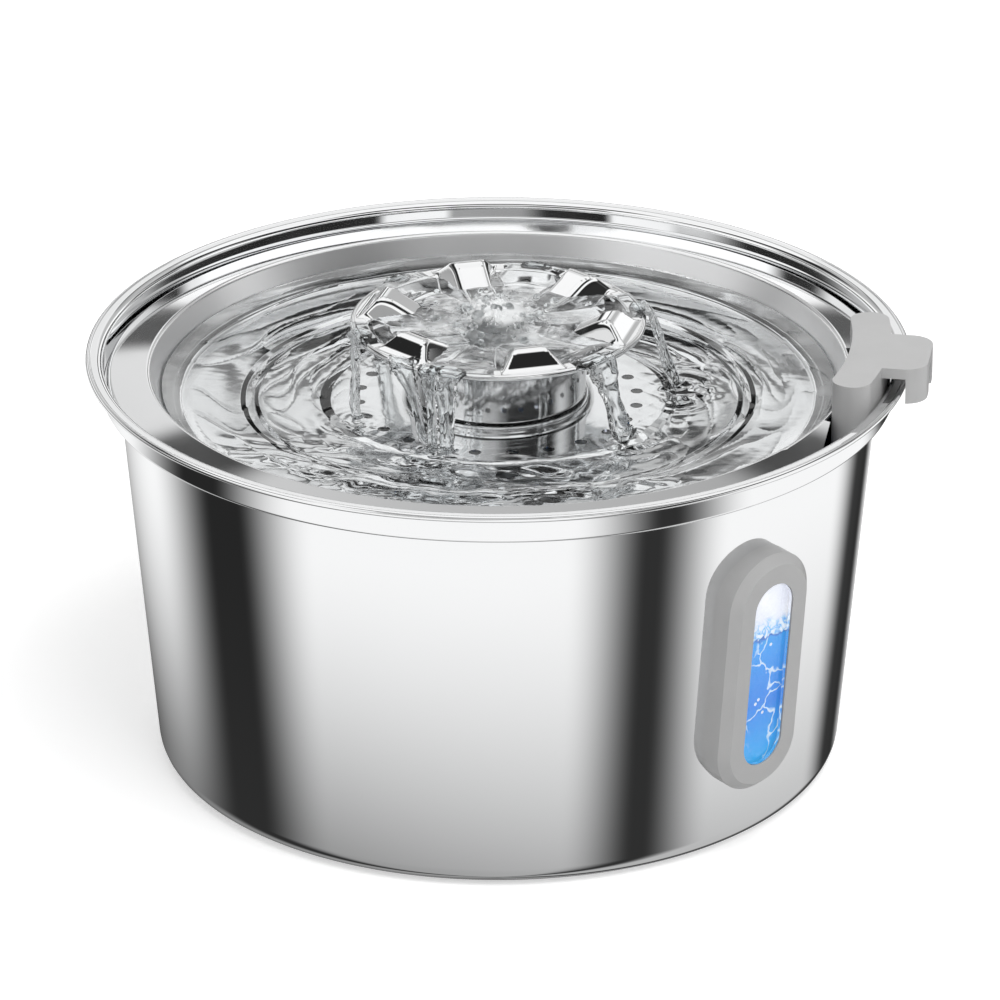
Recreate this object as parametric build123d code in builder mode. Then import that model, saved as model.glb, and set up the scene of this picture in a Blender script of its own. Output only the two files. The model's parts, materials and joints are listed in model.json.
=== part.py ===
from build123d import *
import math
import os

# A round steel pet water fountain: a tapered bowl with a drop-in tray, a flower spout, a level
# window, a cable clip, a filter case and a submerged pump.
# Millimetres. The origin is the centre of the base, +Z is up, +X points at the cable clip and
# -Y is the front.

os.makedirs("parts", exist_ok=True)

# ------------------------------------------------------------------ clearances
lift_gap = 0.3  # between pieces that lift or slide past each other
running_gap = 0.05  # radial, round pins and shafts that turn or slide
seat_gap = 0.1  # between pieces fixed beside each other

# ------------------------------------------------------------------ bowl
sheet = 0.8
bowl_height = 119.0
base_radius = 96.3
base_corner = 6.0
collar_radius = 110.9
collar_step = 5.0
collar_rise = 9.4
lip_width = 4.1
lip_bead = 0.9
lip_sink = 0.2  # the flat lip lies this far below the top of its rolled edge
step_bend = 1.0
lip_bend = 1.2
wall_top_radius = collar_radius - collar_step
step_height = bowl_height - collar_rise
lip_radius = collar_radius + lip_width
ledge_top = step_height + sheet
lip_under = bowl_height - lip_sink - sheet
collar_inside = collar_radius - sheet
taper = math.degrees(math.atan2(wall_top_radius - base_radius, step_height))

# ------------------------------------------------------------------ level window
window_azimuth = -38.2
window_height = 57.0
frame_depth = 7.4
frame_chamfer = 2.5
frame_sink = 3.0  # how far the blank reaches behind the wall before it is cut to the wall
sight_width = 14.2
sight_length = 56.0
lens_rebate = 2.5
lens_flange = 1.5
lens_recess = 0.5
lens_nose = 2.0
wall_cut_margin = 1.5
gasket_margin = 3.0
gasket_thickness = 1.0
frame_side = 2.0
frame_end = 2.7
frame_width = sight_width + 2 * (lens_rebate + gasket_margin + frame_side)
frame_length = sight_length + 2 * (lens_rebate + gasket_margin + frame_end)
back_frame_depth = 4.5
screw_radius = 1.25
screw_margin = 1.7
screw_offset = sight_length / 2 + lens_rebate + screw_margin
screw_reach = 4.0
screw_head_radius = 2.3
screw_head_height = 1.4
screw_slot = 0.6

# ------------------------------------------------------------------ tray
tray_edge_gap = 0.9
tray_edge_depth = 3.2
tray_flange_width = 11.9
tray_flange_rise = 1.2
tray_depth = 13.8
tray_wall_lean = 6.8
tray_flange_bend = 1.4
tray_foot_bend = 4.0
tray_flange_radius = collar_inside - tray_edge_gap
tray_flange_edge = ledge_top + tray_edge_depth
tray_rim_radius = tray_flange_radius - tray_flange_width
tray_rim_height = tray_flange_edge + tray_flange_rise
tray_foot_radius = tray_rim_radius - tray_wall_lean
tray_floor = tray_rim_height - tray_depth
ring_radius = 70.0
ring_width = 5.0
ring_depth = 0.8
ring_bend = 0.5
plateau_radius = 47.0
plateau_rise = 0.9
plateau_slope = 3.0
plateau_bend = 1.0
tray_hole_radius = 12.0
drain_circle = 39.0
drain_radius = 1.75
drain_count = 24
plateau_top = tray_floor + plateau_rise

# ------------------------------------------------------------------ flower spout
flower_radius = 41.2
flower_rise = 26.0
flower_depth = 5.3
flower_bead = 0.9
flower_lip = 5.0
flower_lip_bend = 2.0
flower_floor_radius = 30.0
flower_floor_bend = 4.0
flower_rim_height = plateau_top + flower_rise
flower_floor = flower_rim_height - flower_depth
neck_radius = 24.5
neck_foot_radius = 26.8
neck_foot_bend = 1.2
petal_count = 6
petal_azimuth = -5.7
petal_rise = 4.5
petal_crest_radius = 33.5
petal_crest_length = 2.6
petal_crest_width = 10.0
petal_crest_inner_width = 8.0
petal_crest_edge = 1.0
petal_corner = 1.2
petal_foot_radius = 44.3
petal_foot_width = 30.0
petal_foot_inner_radius = 10.2
petal_foot_inner_width = 8.0

# ------------------------------------------------------------------ riser and spout adapter
riser_bore = 4.8
riser_radius = 6.5
riser_drop = 5.6
riser_top = flower_floor - riser_drop
riser_socket_length = 10.0
riser_socket_radius = 8.0
socket_edge = 0.8
riser_seal_section = 1.0
adapter_wall = 2.0
adapter_disc = 2.0
adapter_rib = 1.2
adapter_rib_gap = 0.5
adapter_reach = 3.5
adapter_tail = tray_floor - adapter_reach
spout_seal_thickness = 0.9

# ------------------------------------------------------------------ pump
floor_top = sheet
cup_height = 6.2
cup_radius = 7.5
cup_wall = 1.2
cup_neck_radius = 2.4
cup_plug_depth = 3.0
pump_base = floor_top + cup_height
pump_width = 48.0
pump_front = -8.0
pump_back = 30.0
pump_height = 34.0
pump_corner = 5.0
pump_edge = 1.5
pump_side_wall = 4.0
pump_wall = 3.0
pump_length = pump_back - pump_front
pump_middle = (pump_back + pump_front) / 2
pump_top = pump_base + pump_height
cup_spacing_x = 32.0
cup_spacing_y = 24.0
shaft_height = pump_base + pump_height / 2
shaft_radius = 1.0
chamber_wall = 3.5
chamber_radius = pump_height / 2 - chamber_wall
chamber_back = 6.0
spigot_radius = 6.0
spigot_length = 10.0
outlet_radius = 4.2
pocket_front = 8.0
pocket_width = pump_width - 2 * pump_side_wall
pocket_height = pump_height - 2 * pump_wall
pocket_corner = 3.0
magnet_radius = 7.0
magnet_front = 7.2
magnet_gap = 1.0
well_radius = magnet_radius + magnet_gap
well_wall = 1.2
well_cover = 2.5
well_end = pump_back - well_cover
potting_depth = 4.5
potting_front = pump_back - potting_depth

rear_bush_length = 2.9
rear_bush_front = well_end - well_wall - rear_bush_length
stem_radius = 2.5
stem_play = 0.6
stem_back = rear_bush_front - stem_play
stem_setback = 2.0
stem_front = pump_front + stem_setback
blade_tip_gap = 0.6
blade_count = 6
blade_thickness = 1.2
blade_setback = 2.5
blade_front = pump_front + blade_setback
impeller_gap = 1.3
impeller_radius = chamber_radius - impeller_gap
impeller_disc = 1.5
impeller_disc_gap = 1.0
impeller_disc_back = chamber_back - impeller_disc_gap
blade_radius = impeller_radius - blade_tip_gap

cover_plate = 2.5
cover_rim = 1.5
cover_rim_wall = 1.5
cover_front = pump_front - cover_plate
bush_radius = 3.4
bush_wall = 1.0
bush_cap = 1.1
front_bush_length = 2.8
front_bush_front = cover_front + bush_cap
front_bush_back = front_bush_front + front_bush_length
port_inner_radius = 4.2
port_outer_radius = 8.6
port_half_angle = 38.0
dial_inset = 3.0
dial_radius = chamber_radius - dial_inset
dial_thickness = 1.5
dial_pin_radius = 2.2
dial_tab_width = 5.0
dial_tab_length = 2.6

grille_side = 1.0
grille_edge_height = 1.2
grille_width = pump_width - 2 * grille_side
grille_height = pump_height - 2 * grille_edge_height
grille_wall = 1.6
grille_depth = 16.0
grille_front = pump_front - grille_depth
grille_corner = 4.0
grille_slots = 7
grille_slot_width = 2.2
grille_slot_end = 3.0
grille_edge = 1.0
foam_space = 6.0  # between the housing's front and the sponge, for the cover and the dial
foam_back = pump_front - foam_space

board_gap = 2.9
board_front = potting_front - board_gap
board_thickness = 1.4
board_margin = 1.5
board_width = pocket_width - 2 * board_margin
board_height = pocket_height - 2 * board_margin
core_side = 1.5
core_end = 2.0
core_width = pocket_width - 2 * core_side
core_height = pocket_height - 2 * core_end
core_front = 10.0
core_gap = 2.6
core_length = board_front - core_front - core_gap
core_yoke = 4.0
core_window_width = 3.4
core_window_height = core_height - 2 * core_yoke
core_limb = 3.0
coil_end = 1.6
coil_length = core_length + 2 * coil_end
coil_play = 1.0
coil_height = core_window_height - 2 * coil_play
coil_overhang = 1.4
coil_corner = 1.0

gland_inset = 8.0
gland_rise = 8.5
gland_side = pump_back - gland_inset
gland_height = pump_base + gland_rise
gland_radius = 4.0
gland_length = 9.0
gland_collar = 1.5
gland_taper = 4.0
cord_radius = 1.6
lamp_inset = 12.0
lamp_drop = 8.0
lamp_side = pump_back - lamp_inset
lamp_height = pump_top - lamp_drop
lamp_radius = 2.5
lamp_proud = 0.8

# ------------------------------------------------------------------ filter
case_radius = 46.0
case_wall = 1.5
case_edge = 2.0
case_leg = 15.0  # from the pump's top, where the case's stem stands, up to the case's floor
case_stem_radius = 12.0
case_stem_bore = 9.4
case_stem_drop = 2.6
lid_gap = 6.0  # from the lid's top to the tray's floor
lid_rise = 2.4
lid_edge = 0.8
lid_top = tray_floor - lid_gap
case_floor = pump_top + case_leg
case_top = lid_top - lid_rise
case_stem_top = case_top - case_stem_drop
lid_thickness = 1.6
lid_skirt = 3.0
lid_skirt_wall = 1.2
slot_count = 24
slot_width = 2.4
slot_end = 3.0
resin_height = 9.0
cotton_height = 7.0
media_headroom = 2.1
media_floor = case_floor + case_wall
carbon_top = case_top - lid_skirt - media_headroom - cotton_height
carbon_height = carbon_top - media_floor - resin_height

# ------------------------------------------------------------------ cable clip
clip_rise = 6.5
clip_plate = 3.0
clip_edge_gap = 0.8
clip_width = 10.8
clip_half_angle = 15.0
clip_end_flat = 0.8
clip_corner = (clip_width - clip_end_flat) / 2
clip_wall = 2.0
clip_overhang = 5.8
clip_stem_width = 24.6
clip_stem_corner = 6.0
clip_leg_gap = 0.9
clip_leg_drop = 2.7
clip_drop = 5.1
clip_slot = 6.0
clip_top = bowl_height + clip_rise
clip_outer_radius = collar_inside - clip_edge_gap
clip_inner_radius = clip_outer_radius - clip_width
clip_reach = lip_radius + clip_overhang
clip_leg_bottom = lip_under - clip_leg_drop
clip_hang = step_height - clip_drop
notch_gap = 0.5
thumb_cut_depth = 1.7  # how far the straight cut in front of the clip reaches inside the notch


def wall_radius(height):
    """Outer radius of the tapered wall at a height."""
    return base_radius + (wall_top_radius - base_radius) * height / step_height


def wall_solid(grow):
    """Solid that fills the bowl's wall, grown outwards by a radial amount."""
    with BuildPart() as core:
        with BuildSketch(Plane.XZ):
            with BuildLine():
                Polyline(
                    (0, 0),
                    (base_radius + grow, 0),
                    (wall_top_radius + grow, step_height),
                    (0, step_height),
                    close=True,
                )
            make_face()
        revolve(axis=Axis.Z)
    return core.part


def slot_face(width, length):
    """Upright racetrack."""
    with BuildSketch() as face:
        SlotOverall(length, width, rotation=90)
    return face.sketch


def arc_band(inner, outer, half_angle, corner=0):
    """Face between two arcs about the origin, centred on +X."""
    with BuildSketch() as band:
        with BuildLine():
            near = CenterArc((0, 0), inner, -half_angle, 2 * half_angle)
            far = CenterArc((0, 0), outer, -half_angle, 2 * half_angle)
            Line(near @ 0, far @ 0)
            Line(near @ 1, far @ 1)
        make_face()
        if corner:
            fillet(band.vertices(), corner)
    return band.sketch


def front_plane(y):
    """Plane across the pump shaft at y, facing the front, with its origin on the shaft."""
    return Plane(origin=(0, y, shaft_height), x_dir=(1, 0, 0), z_dir=(0, -1, 0))


def side_plane(x):
    """Plane facing +X, with local x along +Y and local y along +Z."""
    return Plane(origin=(x, 0, 0), x_dir=(0, 1, 0), z_dir=(1, 0, 0))


window_facing = math.radians(window_azimuth)
window_tilt = math.radians(taper)
window_plane = Plane(
    origin=(
        wall_radius(window_height) * math.cos(window_facing),
        wall_radius(window_height) * math.sin(window_facing),
        window_height,
    ),
    x_dir=(-math.sin(window_facing), math.cos(window_facing), 0),
    z_dir=(
        math.cos(window_facing) * math.cos(window_tilt),
        math.sin(window_facing) * math.cos(window_tilt),
        -math.sin(window_tilt),
    ),
)
window_axis = Axis(window_plane.origin, window_plane.z_dir)
lens_width = sight_width + 2 * lens_rebate
lens_length = sight_length + 2 * lens_rebate
lens_seat = frame_depth - lens_recess - lens_nose
wall_cut_width = sight_width + 2 * wall_cut_margin
wall_cut_length = sight_length + 2 * wall_cut_margin
screw_places = [(0, screw_offset), (0, -screw_offset)]
screw_head_top = back_frame_depth - seat_gap

# ------------------------------------------------------------------ bowl
with BuildPart() as bowl:
    with BuildSketch(Plane.XZ):
        with BuildLine():
            FilletPolyline(
                (0, 0),
                (base_radius, 0),
                (wall_top_radius, step_height),
                (collar_radius, step_height),
                (collar_radius, lip_under),
                (lip_radius - lip_bead, lip_under),
                radius=[base_corner, step_bend, step_bend, lip_bend],
            )
            offset(amount=sheet, side=Side.LEFT)
        make_face()
        with Locations((lip_radius - lip_bead, bowl_height - lip_bead)):
            Circle(lip_bead)
    revolve(axis=Axis.Z)
    with BuildSketch(window_plane):
        add(slot_face(wall_cut_width, wall_cut_length))
        with Locations(*screw_places):
            Circle(screw_radius + seat_gap)
    extrude(amount=frame_depth, both=True, mode=Mode.SUBTRACT)

# ------------------------------------------------------------------ level window
with BuildPart() as window_gasket:
    with BuildSketch(window_plane.offset(-frame_sink)):
        add(slot_face(lens_width + 2 * gasket_margin, lens_length + 2 * gasket_margin))
        add(slot_face(lens_width, lens_length), mode=Mode.SUBTRACT)
        with Locations(*screw_places):
            Circle(screw_radius + seat_gap, mode=Mode.SUBTRACT)
    extrude(amount=2 * frame_sink)
    add(wall_solid(gasket_thickness), mode=Mode.INTERSECT)
    add(wall_solid(0), mode=Mode.SUBTRACT)

with BuildPart() as window_frame:
    with BuildSketch(window_plane.offset(-frame_sink)):
        add(slot_face(frame_width, frame_length))
    extrude(amount=frame_sink + frame_depth)
    chamfer(window_frame.faces().sort_by(window_axis)[-1].edges(), frame_chamfer)
    with BuildSketch(window_plane.offset(frame_depth)):
        add(slot_face(sight_width, sight_length))
    extrude(amount=-frame_depth, mode=Mode.SUBTRACT)
    with BuildSketch(window_plane.offset(lens_seat)):
        add(slot_face(lens_width, lens_length))
    extrude(amount=-(lens_seat + frame_sink), mode=Mode.SUBTRACT)
    with BuildSketch(window_plane.offset(screw_reach)):
        with Locations(*screw_places):
            Circle(screw_radius)
    extrude(amount=-(screw_reach + frame_sink), mode=Mode.SUBTRACT)
    with BuildSketch(window_plane.offset(-frame_sink)):
        add(slot_face(lens_width + 2 * gasket_margin, lens_length + 2 * gasket_margin))
    extrude(amount=frame_sink + gasket_thickness, mode=Mode.SUBTRACT)
    add(wall_solid(0), mode=Mode.SUBTRACT)

with BuildPart() as window_lens:
    with BuildSketch(window_plane.offset(lens_seat)):
        add(slot_face(lens_width - 2 * seat_gap, lens_length - 2 * seat_gap))
    extrude(amount=-lens_flange)
    with BuildSketch(window_plane.offset(lens_seat)):
        add(slot_face(sight_width - 2 * seat_gap, sight_length - 2 * seat_gap))
    extrude(amount=lens_nose)

with BuildPart() as window_back_frame:
    with BuildSketch(window_plane.offset(-back_frame_depth)):
        add(slot_face(lens_width + 2 * gasket_margin, lens_length + 2 * gasket_margin))
        add(slot_face(wall_cut_width, wall_cut_length), mode=Mode.SUBTRACT)
        with Locations(*screw_places):
            Circle(screw_radius + seat_gap, mode=Mode.SUBTRACT)
    extrude(amount=back_frame_depth)
    with BuildSketch(window_plane.offset(-back_frame_depth)):
        with Locations(*screw_places):
            Circle(screw_head_radius + seat_gap)
    extrude(amount=screw_head_height + seat_gap, mode=Mode.SUBTRACT)
    add(wall_solid(-sheet / math.cos(window_tilt)), mode=Mode.INTERSECT)

with BuildPart() as window_screws:
    with BuildSketch(window_plane.offset(-screw_head_top)):
        with Locations(*screw_places):
            Circle(screw_head_radius)
    extrude(amount=screw_head_height)
    with BuildSketch(window_plane.offset(-screw_head_top)):
        with Locations(*screw_places):
            Circle(screw_radius)
    extrude(amount=screw_head_top + screw_reach)
    with BuildSketch(window_plane.offset(-screw_head_top)):
        with Locations(*screw_places):
            Rectangle(2 * screw_head_radius, screw_slot)
    extrude(amount=screw_slot, mode=Mode.SUBTRACT)

# ------------------------------------------------------------------ tray
notch_radius = clip_inner_radius - notch_gap
thumb_cut_face = notch_radius - thumb_cut_depth

with BuildSketch() as notch:
    with Locations((thumb_cut_face, 0)):
        Rectangle(lip_radius - thumb_cut_face, lip_radius, align=(Align.MIN, Align.MAX))
    Circle(notch_radius, mode=Mode.SUBTRACT)
    add(arc_band(notch_radius, lip_radius, clip_half_angle + math.degrees(notch_gap / notch_radius)))

with BuildPart() as tray:
    with BuildSketch(Plane.XZ):
        with BuildLine():
            FilletPolyline(
                (tray_flange_radius, ledge_top),
                (tray_flange_radius, tray_flange_edge),
                (tray_rim_radius, tray_rim_height),
                (tray_foot_radius, tray_floor),
                (ring_radius + ring_width / 2, tray_floor),
                (ring_radius + ring_width / 5, tray_floor - ring_depth),
                (ring_radius - ring_width / 5, tray_floor - ring_depth),
                (ring_radius - ring_width / 2, tray_floor),
                (plateau_radius + plateau_slope, tray_floor),
                (plateau_radius, plateau_top),
                (tray_hole_radius, plateau_top),
                radius=[
                    tray_flange_bend,
                    tray_flange_bend,
                    tray_foot_bend,
                    ring_bend,
                    ring_bend,
                    ring_bend,
                    ring_bend,
                    plateau_bend,
                    plateau_bend,
                ],
            )
            offset(amount=sheet, side=Side.LEFT)
        make_face()
    revolve(axis=Axis.Z)
    with BuildSketch(Plane.XY.offset(plateau_top)):
        with PolarLocations(drain_circle, drain_count):
            Circle(drain_radius)
    extrude(amount=-2 * sheet, mode=Mode.SUBTRACT)
    with BuildSketch(Plane.XY.offset(tray_floor)):
        add(notch.sketch)
    extrude(amount=bowl_height - tray_floor, mode=Mode.SUBTRACT)

# ------------------------------------------------------------------ flower spout
neck_foot = plateau_top
neck_top = flower_floor - sheet


petal_foot = flower_floor - 2 * sheet
petal_crest = flower_rim_height + petal_rise
petal_reach = petal_foot_radius + petal_foot_width / 2


def petal_section(height, inset):
    """Petal's outline at a height, drawn in by an inset: once at the sides, twice at its inner end."""
    rise = (height - petal_foot) / (petal_crest - petal_foot)
    crest_inner_radius = petal_crest_radius - petal_crest_length
    outer = petal_foot_radius + rise * (petal_crest_radius - petal_foot_radius) - inset
    inner = petal_foot_inner_radius + rise * (crest_inner_radius - petal_foot_inner_radius) + 2 * inset
    outer_width = petal_foot_width + rise * (petal_crest_width - petal_foot_width) - 2 * inset
    inner_width = petal_foot_inner_width + rise * (petal_crest_inner_width - petal_foot_inner_width)
    with BuildSketch(Plane.XY.offset(height)) as section:
        with BuildLine():
            Polyline(
                (inner, -inner_width / 2),
                (outer, -outer_width / 2),
                (outer, outer_width / 2),
                (inner, inner_width / 2),
                close=True,
            )
        make_face()
    return section.sketch


def petal_form(skin):
    """Petal as a solid, drawn in by a skin thickness on every side."""
    foot = petal_section(petal_foot, skin).face()
    crest = petal_section(petal_crest - skin, skin).face()
    with BuildPart() as form:
        loft(sections=[foot, crest])
    return form.part


flower_surface = [
    (riser_radius + lift_gap, flower_floor),
    (flower_floor_radius, flower_floor),
    (flower_radius - flower_lip, flower_rim_height - lip_sink),
    (flower_radius - flower_bead, flower_rim_height - lip_sink),
]

with BuildPart() as under_flower:
    with BuildSketch(Plane.XZ):
        with BuildLine():
            Polyline(
                (0, flower_floor - sheet / 2),
                (flower_floor_radius, flower_floor - sheet / 2),
                (flower_radius - flower_lip, flower_rim_height - lip_sink - sheet / 2),
                (petal_reach, flower_rim_height - lip_sink - sheet / 2),
                (petal_reach, neck_foot),
                (0, neck_foot),
                close=True,
            )
        make_face()
    revolve(axis=Axis.Z)

with BuildPart() as petal:
    add(petal_form(0))
    fillet(petal.edges().group_by(Axis.Z)[1], petal_corner)
    fillet(petal.edges().group_by(Axis.Z)[-1], petal_crest_edge)
    add(under_flower.part, mode=Mode.SUBTRACT)

with BuildPart() as spout_flower:
    with BuildSketch(Plane.XZ):
        with BuildLine():
            FilletPolyline(*flower_surface, radius=[flower_floor_bend, flower_lip_bend])
            offset(amount=sheet, side=Side.RIGHT)
        make_face()
        with Locations((flower_radius - flower_bead, flower_rim_height - flower_bead)):
            Circle(flower_bead)
    revolve(axis=Axis.Z)
    with PolarLocations(0, petal_count, start_angle=petal_azimuth):
        add(petal.part)
    with PolarLocations(0, petal_count, start_angle=petal_azimuth):
        add(petal_form(sheet), mode=Mode.SUBTRACT)

with BuildPart() as spout_neck:
    with BuildSketch(Plane.XZ):
        with BuildLine():
            FilletPolyline(
                (neck_radius - sheet, neck_top),
                (neck_radius - sheet, neck_foot),
                (neck_foot_radius, neck_foot),
                radius=neck_foot_bend,
            )
            offset(amount=sheet, side=Side.LEFT)
        make_face()
    revolve(axis=Axis.Z)

with BuildPart() as spout_seal:
    with BuildSketch(Plane.XY.offset(neck_foot)):
        Circle(neck_radius - sheet - neck_foot_bend - seat_gap)
        Circle(riser_radius + lift_gap + adapter_wall + seat_gap, mode=Mode.SUBTRACT)
    extrude(amount=spout_seal_thickness)

adapter_bore = riser_radius + lift_gap
adapter_foot = neck_foot + spout_seal_thickness

with BuildPart() as spout_adapter:
    with BuildSketch(Plane.XY.offset(adapter_tail)):
        Circle(adapter_bore + adapter_wall)
    extrude(amount=neck_top - adapter_tail)
    with BuildSketch(Plane.XY.offset(adapter_foot)):
        Circle(neck_radius - sheet - neck_foot_bend - seat_gap)
    extrude(amount=adapter_disc)
    with BuildSketch(Plane.XY.offset(neck_top)):
        Circle(neck_radius - sheet - seat_gap)
    extrude(amount=-adapter_disc)
    with BuildSketch(Plane.XY.offset(adapter_foot)):
        with PolarLocations((adapter_bore + neck_radius - sheet) / 2, 6):
            Rectangle(neck_radius - sheet - adapter_bore - 2 * adapter_rib_gap, adapter_rib)
    extrude(amount=neck_top - adapter_foot)
    with BuildSketch(Plane.XY.offset(adapter_tail)):
        Circle(adapter_bore)
    extrude(amount=neck_top - adapter_tail, mode=Mode.SUBTRACT)

# ------------------------------------------------------------------ riser
riser_foot = pump_top + 2 * riser_seal_section

with BuildPart() as riser_tube:
    with BuildSketch(Plane.XY.offset(riser_foot)):
        Circle(riser_socket_radius)
    extrude(amount=riser_socket_length)
    fillet(riser_tube.edges().group_by(Axis.Z)[-1], socket_edge)
    with BuildSketch(Plane.XY.offset(riser_foot)):
        Circle(riser_radius)
    extrude(amount=riser_top - riser_foot)
    with BuildSketch(Plane.XY.offset(riser_foot)):
        Circle(riser_bore)
    extrude(amount=riser_top - riser_foot, mode=Mode.SUBTRACT)
    with BuildSketch(Plane.XY.offset(riser_foot)):
        Circle(spigot_radius + seat_gap)
    extrude(amount=spigot_length - 2 * riser_seal_section + seat_gap, mode=Mode.SUBTRACT)

with BuildPart() as riser_seal:
    with BuildSketch(Plane.XZ):
        with Locations((spigot_radius + seat_gap + riser_seal_section, pump_top + riser_seal_section)):
            Circle(riser_seal_section)
    revolve(axis=Axis.Z)

# ------------------------------------------------------------------ pump housing
with BuildPart() as pump_housing:
    with BuildSketch(Plane.XY.offset(pump_base)):
        with Locations((0, pump_middle)):
            RectangleRounded(pump_width, pump_length, pump_corner)
    extrude(amount=pump_height)
    fillet(pump_housing.faces().sort_by(Axis.Z)[-1].edges(), pump_edge)
    chamfer(pump_housing.faces().sort_by(Axis.Z)[0].edges(), pump_edge)
    with BuildSketch(Plane.XY.offset(pump_top)):
        Circle(spigot_radius)
    extrude(amount=spigot_length)
    with BuildSketch(front_plane(chamber_back)):
        Circle(chamber_radius)
    extrude(amount=chamber_back - pump_front, mode=Mode.SUBTRACT)
    with BuildSketch(Plane.XY.offset(shaft_height)):
        Circle(outlet_radius)
    extrude(amount=pump_top + spigot_length - shaft_height, mode=Mode.SUBTRACT)
    with BuildSketch(front_plane(pump_back)):
        RectangleRounded(pocket_width, pocket_height, pocket_corner)
    extrude(amount=pump_back - pocket_front, mode=Mode.SUBTRACT)
    with BuildSketch(front_plane(well_end)):
        Circle(well_radius + well_wall)
    extrude(amount=well_end - pocket_front)
    with BuildSketch(front_plane(well_end - well_wall)):
        Circle(well_radius)
    extrude(amount=well_end - well_wall - chamber_back, mode=Mode.SUBTRACT)
    with BuildSketch(side_plane(pocket_width / 2)):
        with Locations((gland_side, gland_height)):
            Circle(gland_radius)
        with Locations((lamp_side, lamp_height)):
            Circle(lamp_radius)
    extrude(amount=pump_width - pocket_width, mode=Mode.SUBTRACT)
    with BuildSketch(Plane.XY.offset(pump_base)):
        with Locations((0, pump_middle)):
            with GridLocations(cup_spacing_x, cup_spacing_y, 2, 2):
                Circle(cup_neck_radius)
    extrude(amount=cup_plug_depth, mode=Mode.SUBTRACT)

with BuildPart() as one_cup:
    with BuildSketch(Plane.XZ):
        with BuildLine():
            Polyline(
                (0, pump_base + cup_plug_depth),
                (cup_neck_radius, pump_base + cup_plug_depth),
                (cup_neck_radius, pump_base - cup_wall),
                (cup_radius, floor_top),
                (cup_radius - 2 * cup_wall, floor_top),
                (cup_neck_radius / 2, pump_base - 2 * cup_wall),
                (0, pump_base - 2 * cup_wall),
                close=True,
            )
        make_face()
    revolve(axis=Axis.Z)

with BuildPart() as suction_cups:
    with Locations((0, pump_middle)):
        with GridLocations(cup_spacing_x, cup_spacing_y, 2, 2):
            add(one_cup.part)

# ------------------------------------------------------------------ motor
with BuildPart() as stator_core:
    with BuildSketch(front_plane(core_front + core_length)):
        Rectangle(core_width, core_height)
        Circle(well_radius + well_wall, mode=Mode.SUBTRACT)
        with Locations(((core_width - core_window_width) / 2 - core_limb, 0)):
            Rectangle(core_window_width, core_window_height, mode=Mode.SUBTRACT)
        with Locations((-(core_width - core_window_width) / 2 + core_limb, 0)):
            Rectangle(core_window_width, core_window_height, mode=Mode.SUBTRACT)
    extrude(amount=core_length)

coil_middle = (core_width - core_limb) / 2

with BuildPart() as coils:
    with BuildSketch(front_plane(core_front + core_length / 2 + coil_length / 2)):
        with Locations((coil_middle, 0), (-coil_middle, 0)):
            Rectangle(core_limb + 2 * coil_overhang, coil_height)
    extrude(amount=coil_length)
    fillet(coils.edges().filter_by(Axis.Z), coil_corner)
    with BuildSketch(front_plane(core_front + core_length)):
        with Locations((coil_middle, 0), (-coil_middle, 0)):
            Rectangle(core_limb, coil_height)
    extrude(amount=core_length, mode=Mode.SUBTRACT)

with BuildPart() as circuit_board:
    with BuildSketch(front_plane(board_front + board_thickness)):
        Rectangle(board_width, board_height)
        Circle(well_radius + well_wall + seat_gap, mode=Mode.SUBTRACT)
    extrude(amount=board_thickness)

with BuildPart() as potting:
    with BuildSketch(front_plane(pump_back)):
        RectangleRounded(pocket_width, pocket_height, pocket_corner)
    extrude(amount=pump_back - potting_front)
    with BuildSketch(front_plane(well_end)):
        Circle(well_radius + well_wall)
    extrude(amount=well_end - potting_front, mode=Mode.SUBTRACT)

with BuildPart() as pump_shaft:
    with BuildSketch(front_plane(well_end - well_wall)):
        Circle(shaft_radius)
    extrude(amount=well_end - well_wall - front_bush_front)

with BuildPart() as rear_bush:
    with BuildSketch(front_plane(well_end - well_wall)):
        Circle(well_radius)
        Circle(shaft_radius, mode=Mode.SUBTRACT)
    extrude(amount=well_end - well_wall - rear_bush_front)

with BuildPart() as impeller:
    with BuildSketch(front_plane(stem_back)):
        Circle(stem_radius)
    extrude(amount=stem_back - stem_front)
    with BuildSketch(front_plane(impeller_disc_back)):
        Circle(impeller_radius)
    extrude(amount=impeller_disc)
    with BuildSketch(front_plane(impeller_disc_back - impeller_disc)):
        with PolarLocations(blade_radius / 2, blade_count):
            Rectangle(blade_radius, blade_thickness)
    extrude(amount=impeller_disc_back - impeller_disc - blade_front)
    with BuildSketch(front_plane(stem_back)):
        Circle(shaft_radius + running_gap)
    extrude(amount=stem_back - stem_front, mode=Mode.SUBTRACT)

with BuildPart() as rotor_magnet:
    with BuildSketch(front_plane(stem_back)):
        Circle(magnet_radius)
        Circle(stem_radius, mode=Mode.SUBTRACT)
    extrude(amount=stem_back - magnet_front)

# ------------------------------------------------------------------ pump front
dial_back = cover_front - lift_gap
grille_inner_width = grille_width - 2 * grille_wall
grille_inner_height = grille_height - 2 * grille_wall
port_outline = arc_band(port_inner_radius, port_outer_radius, port_half_angle)

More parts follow.
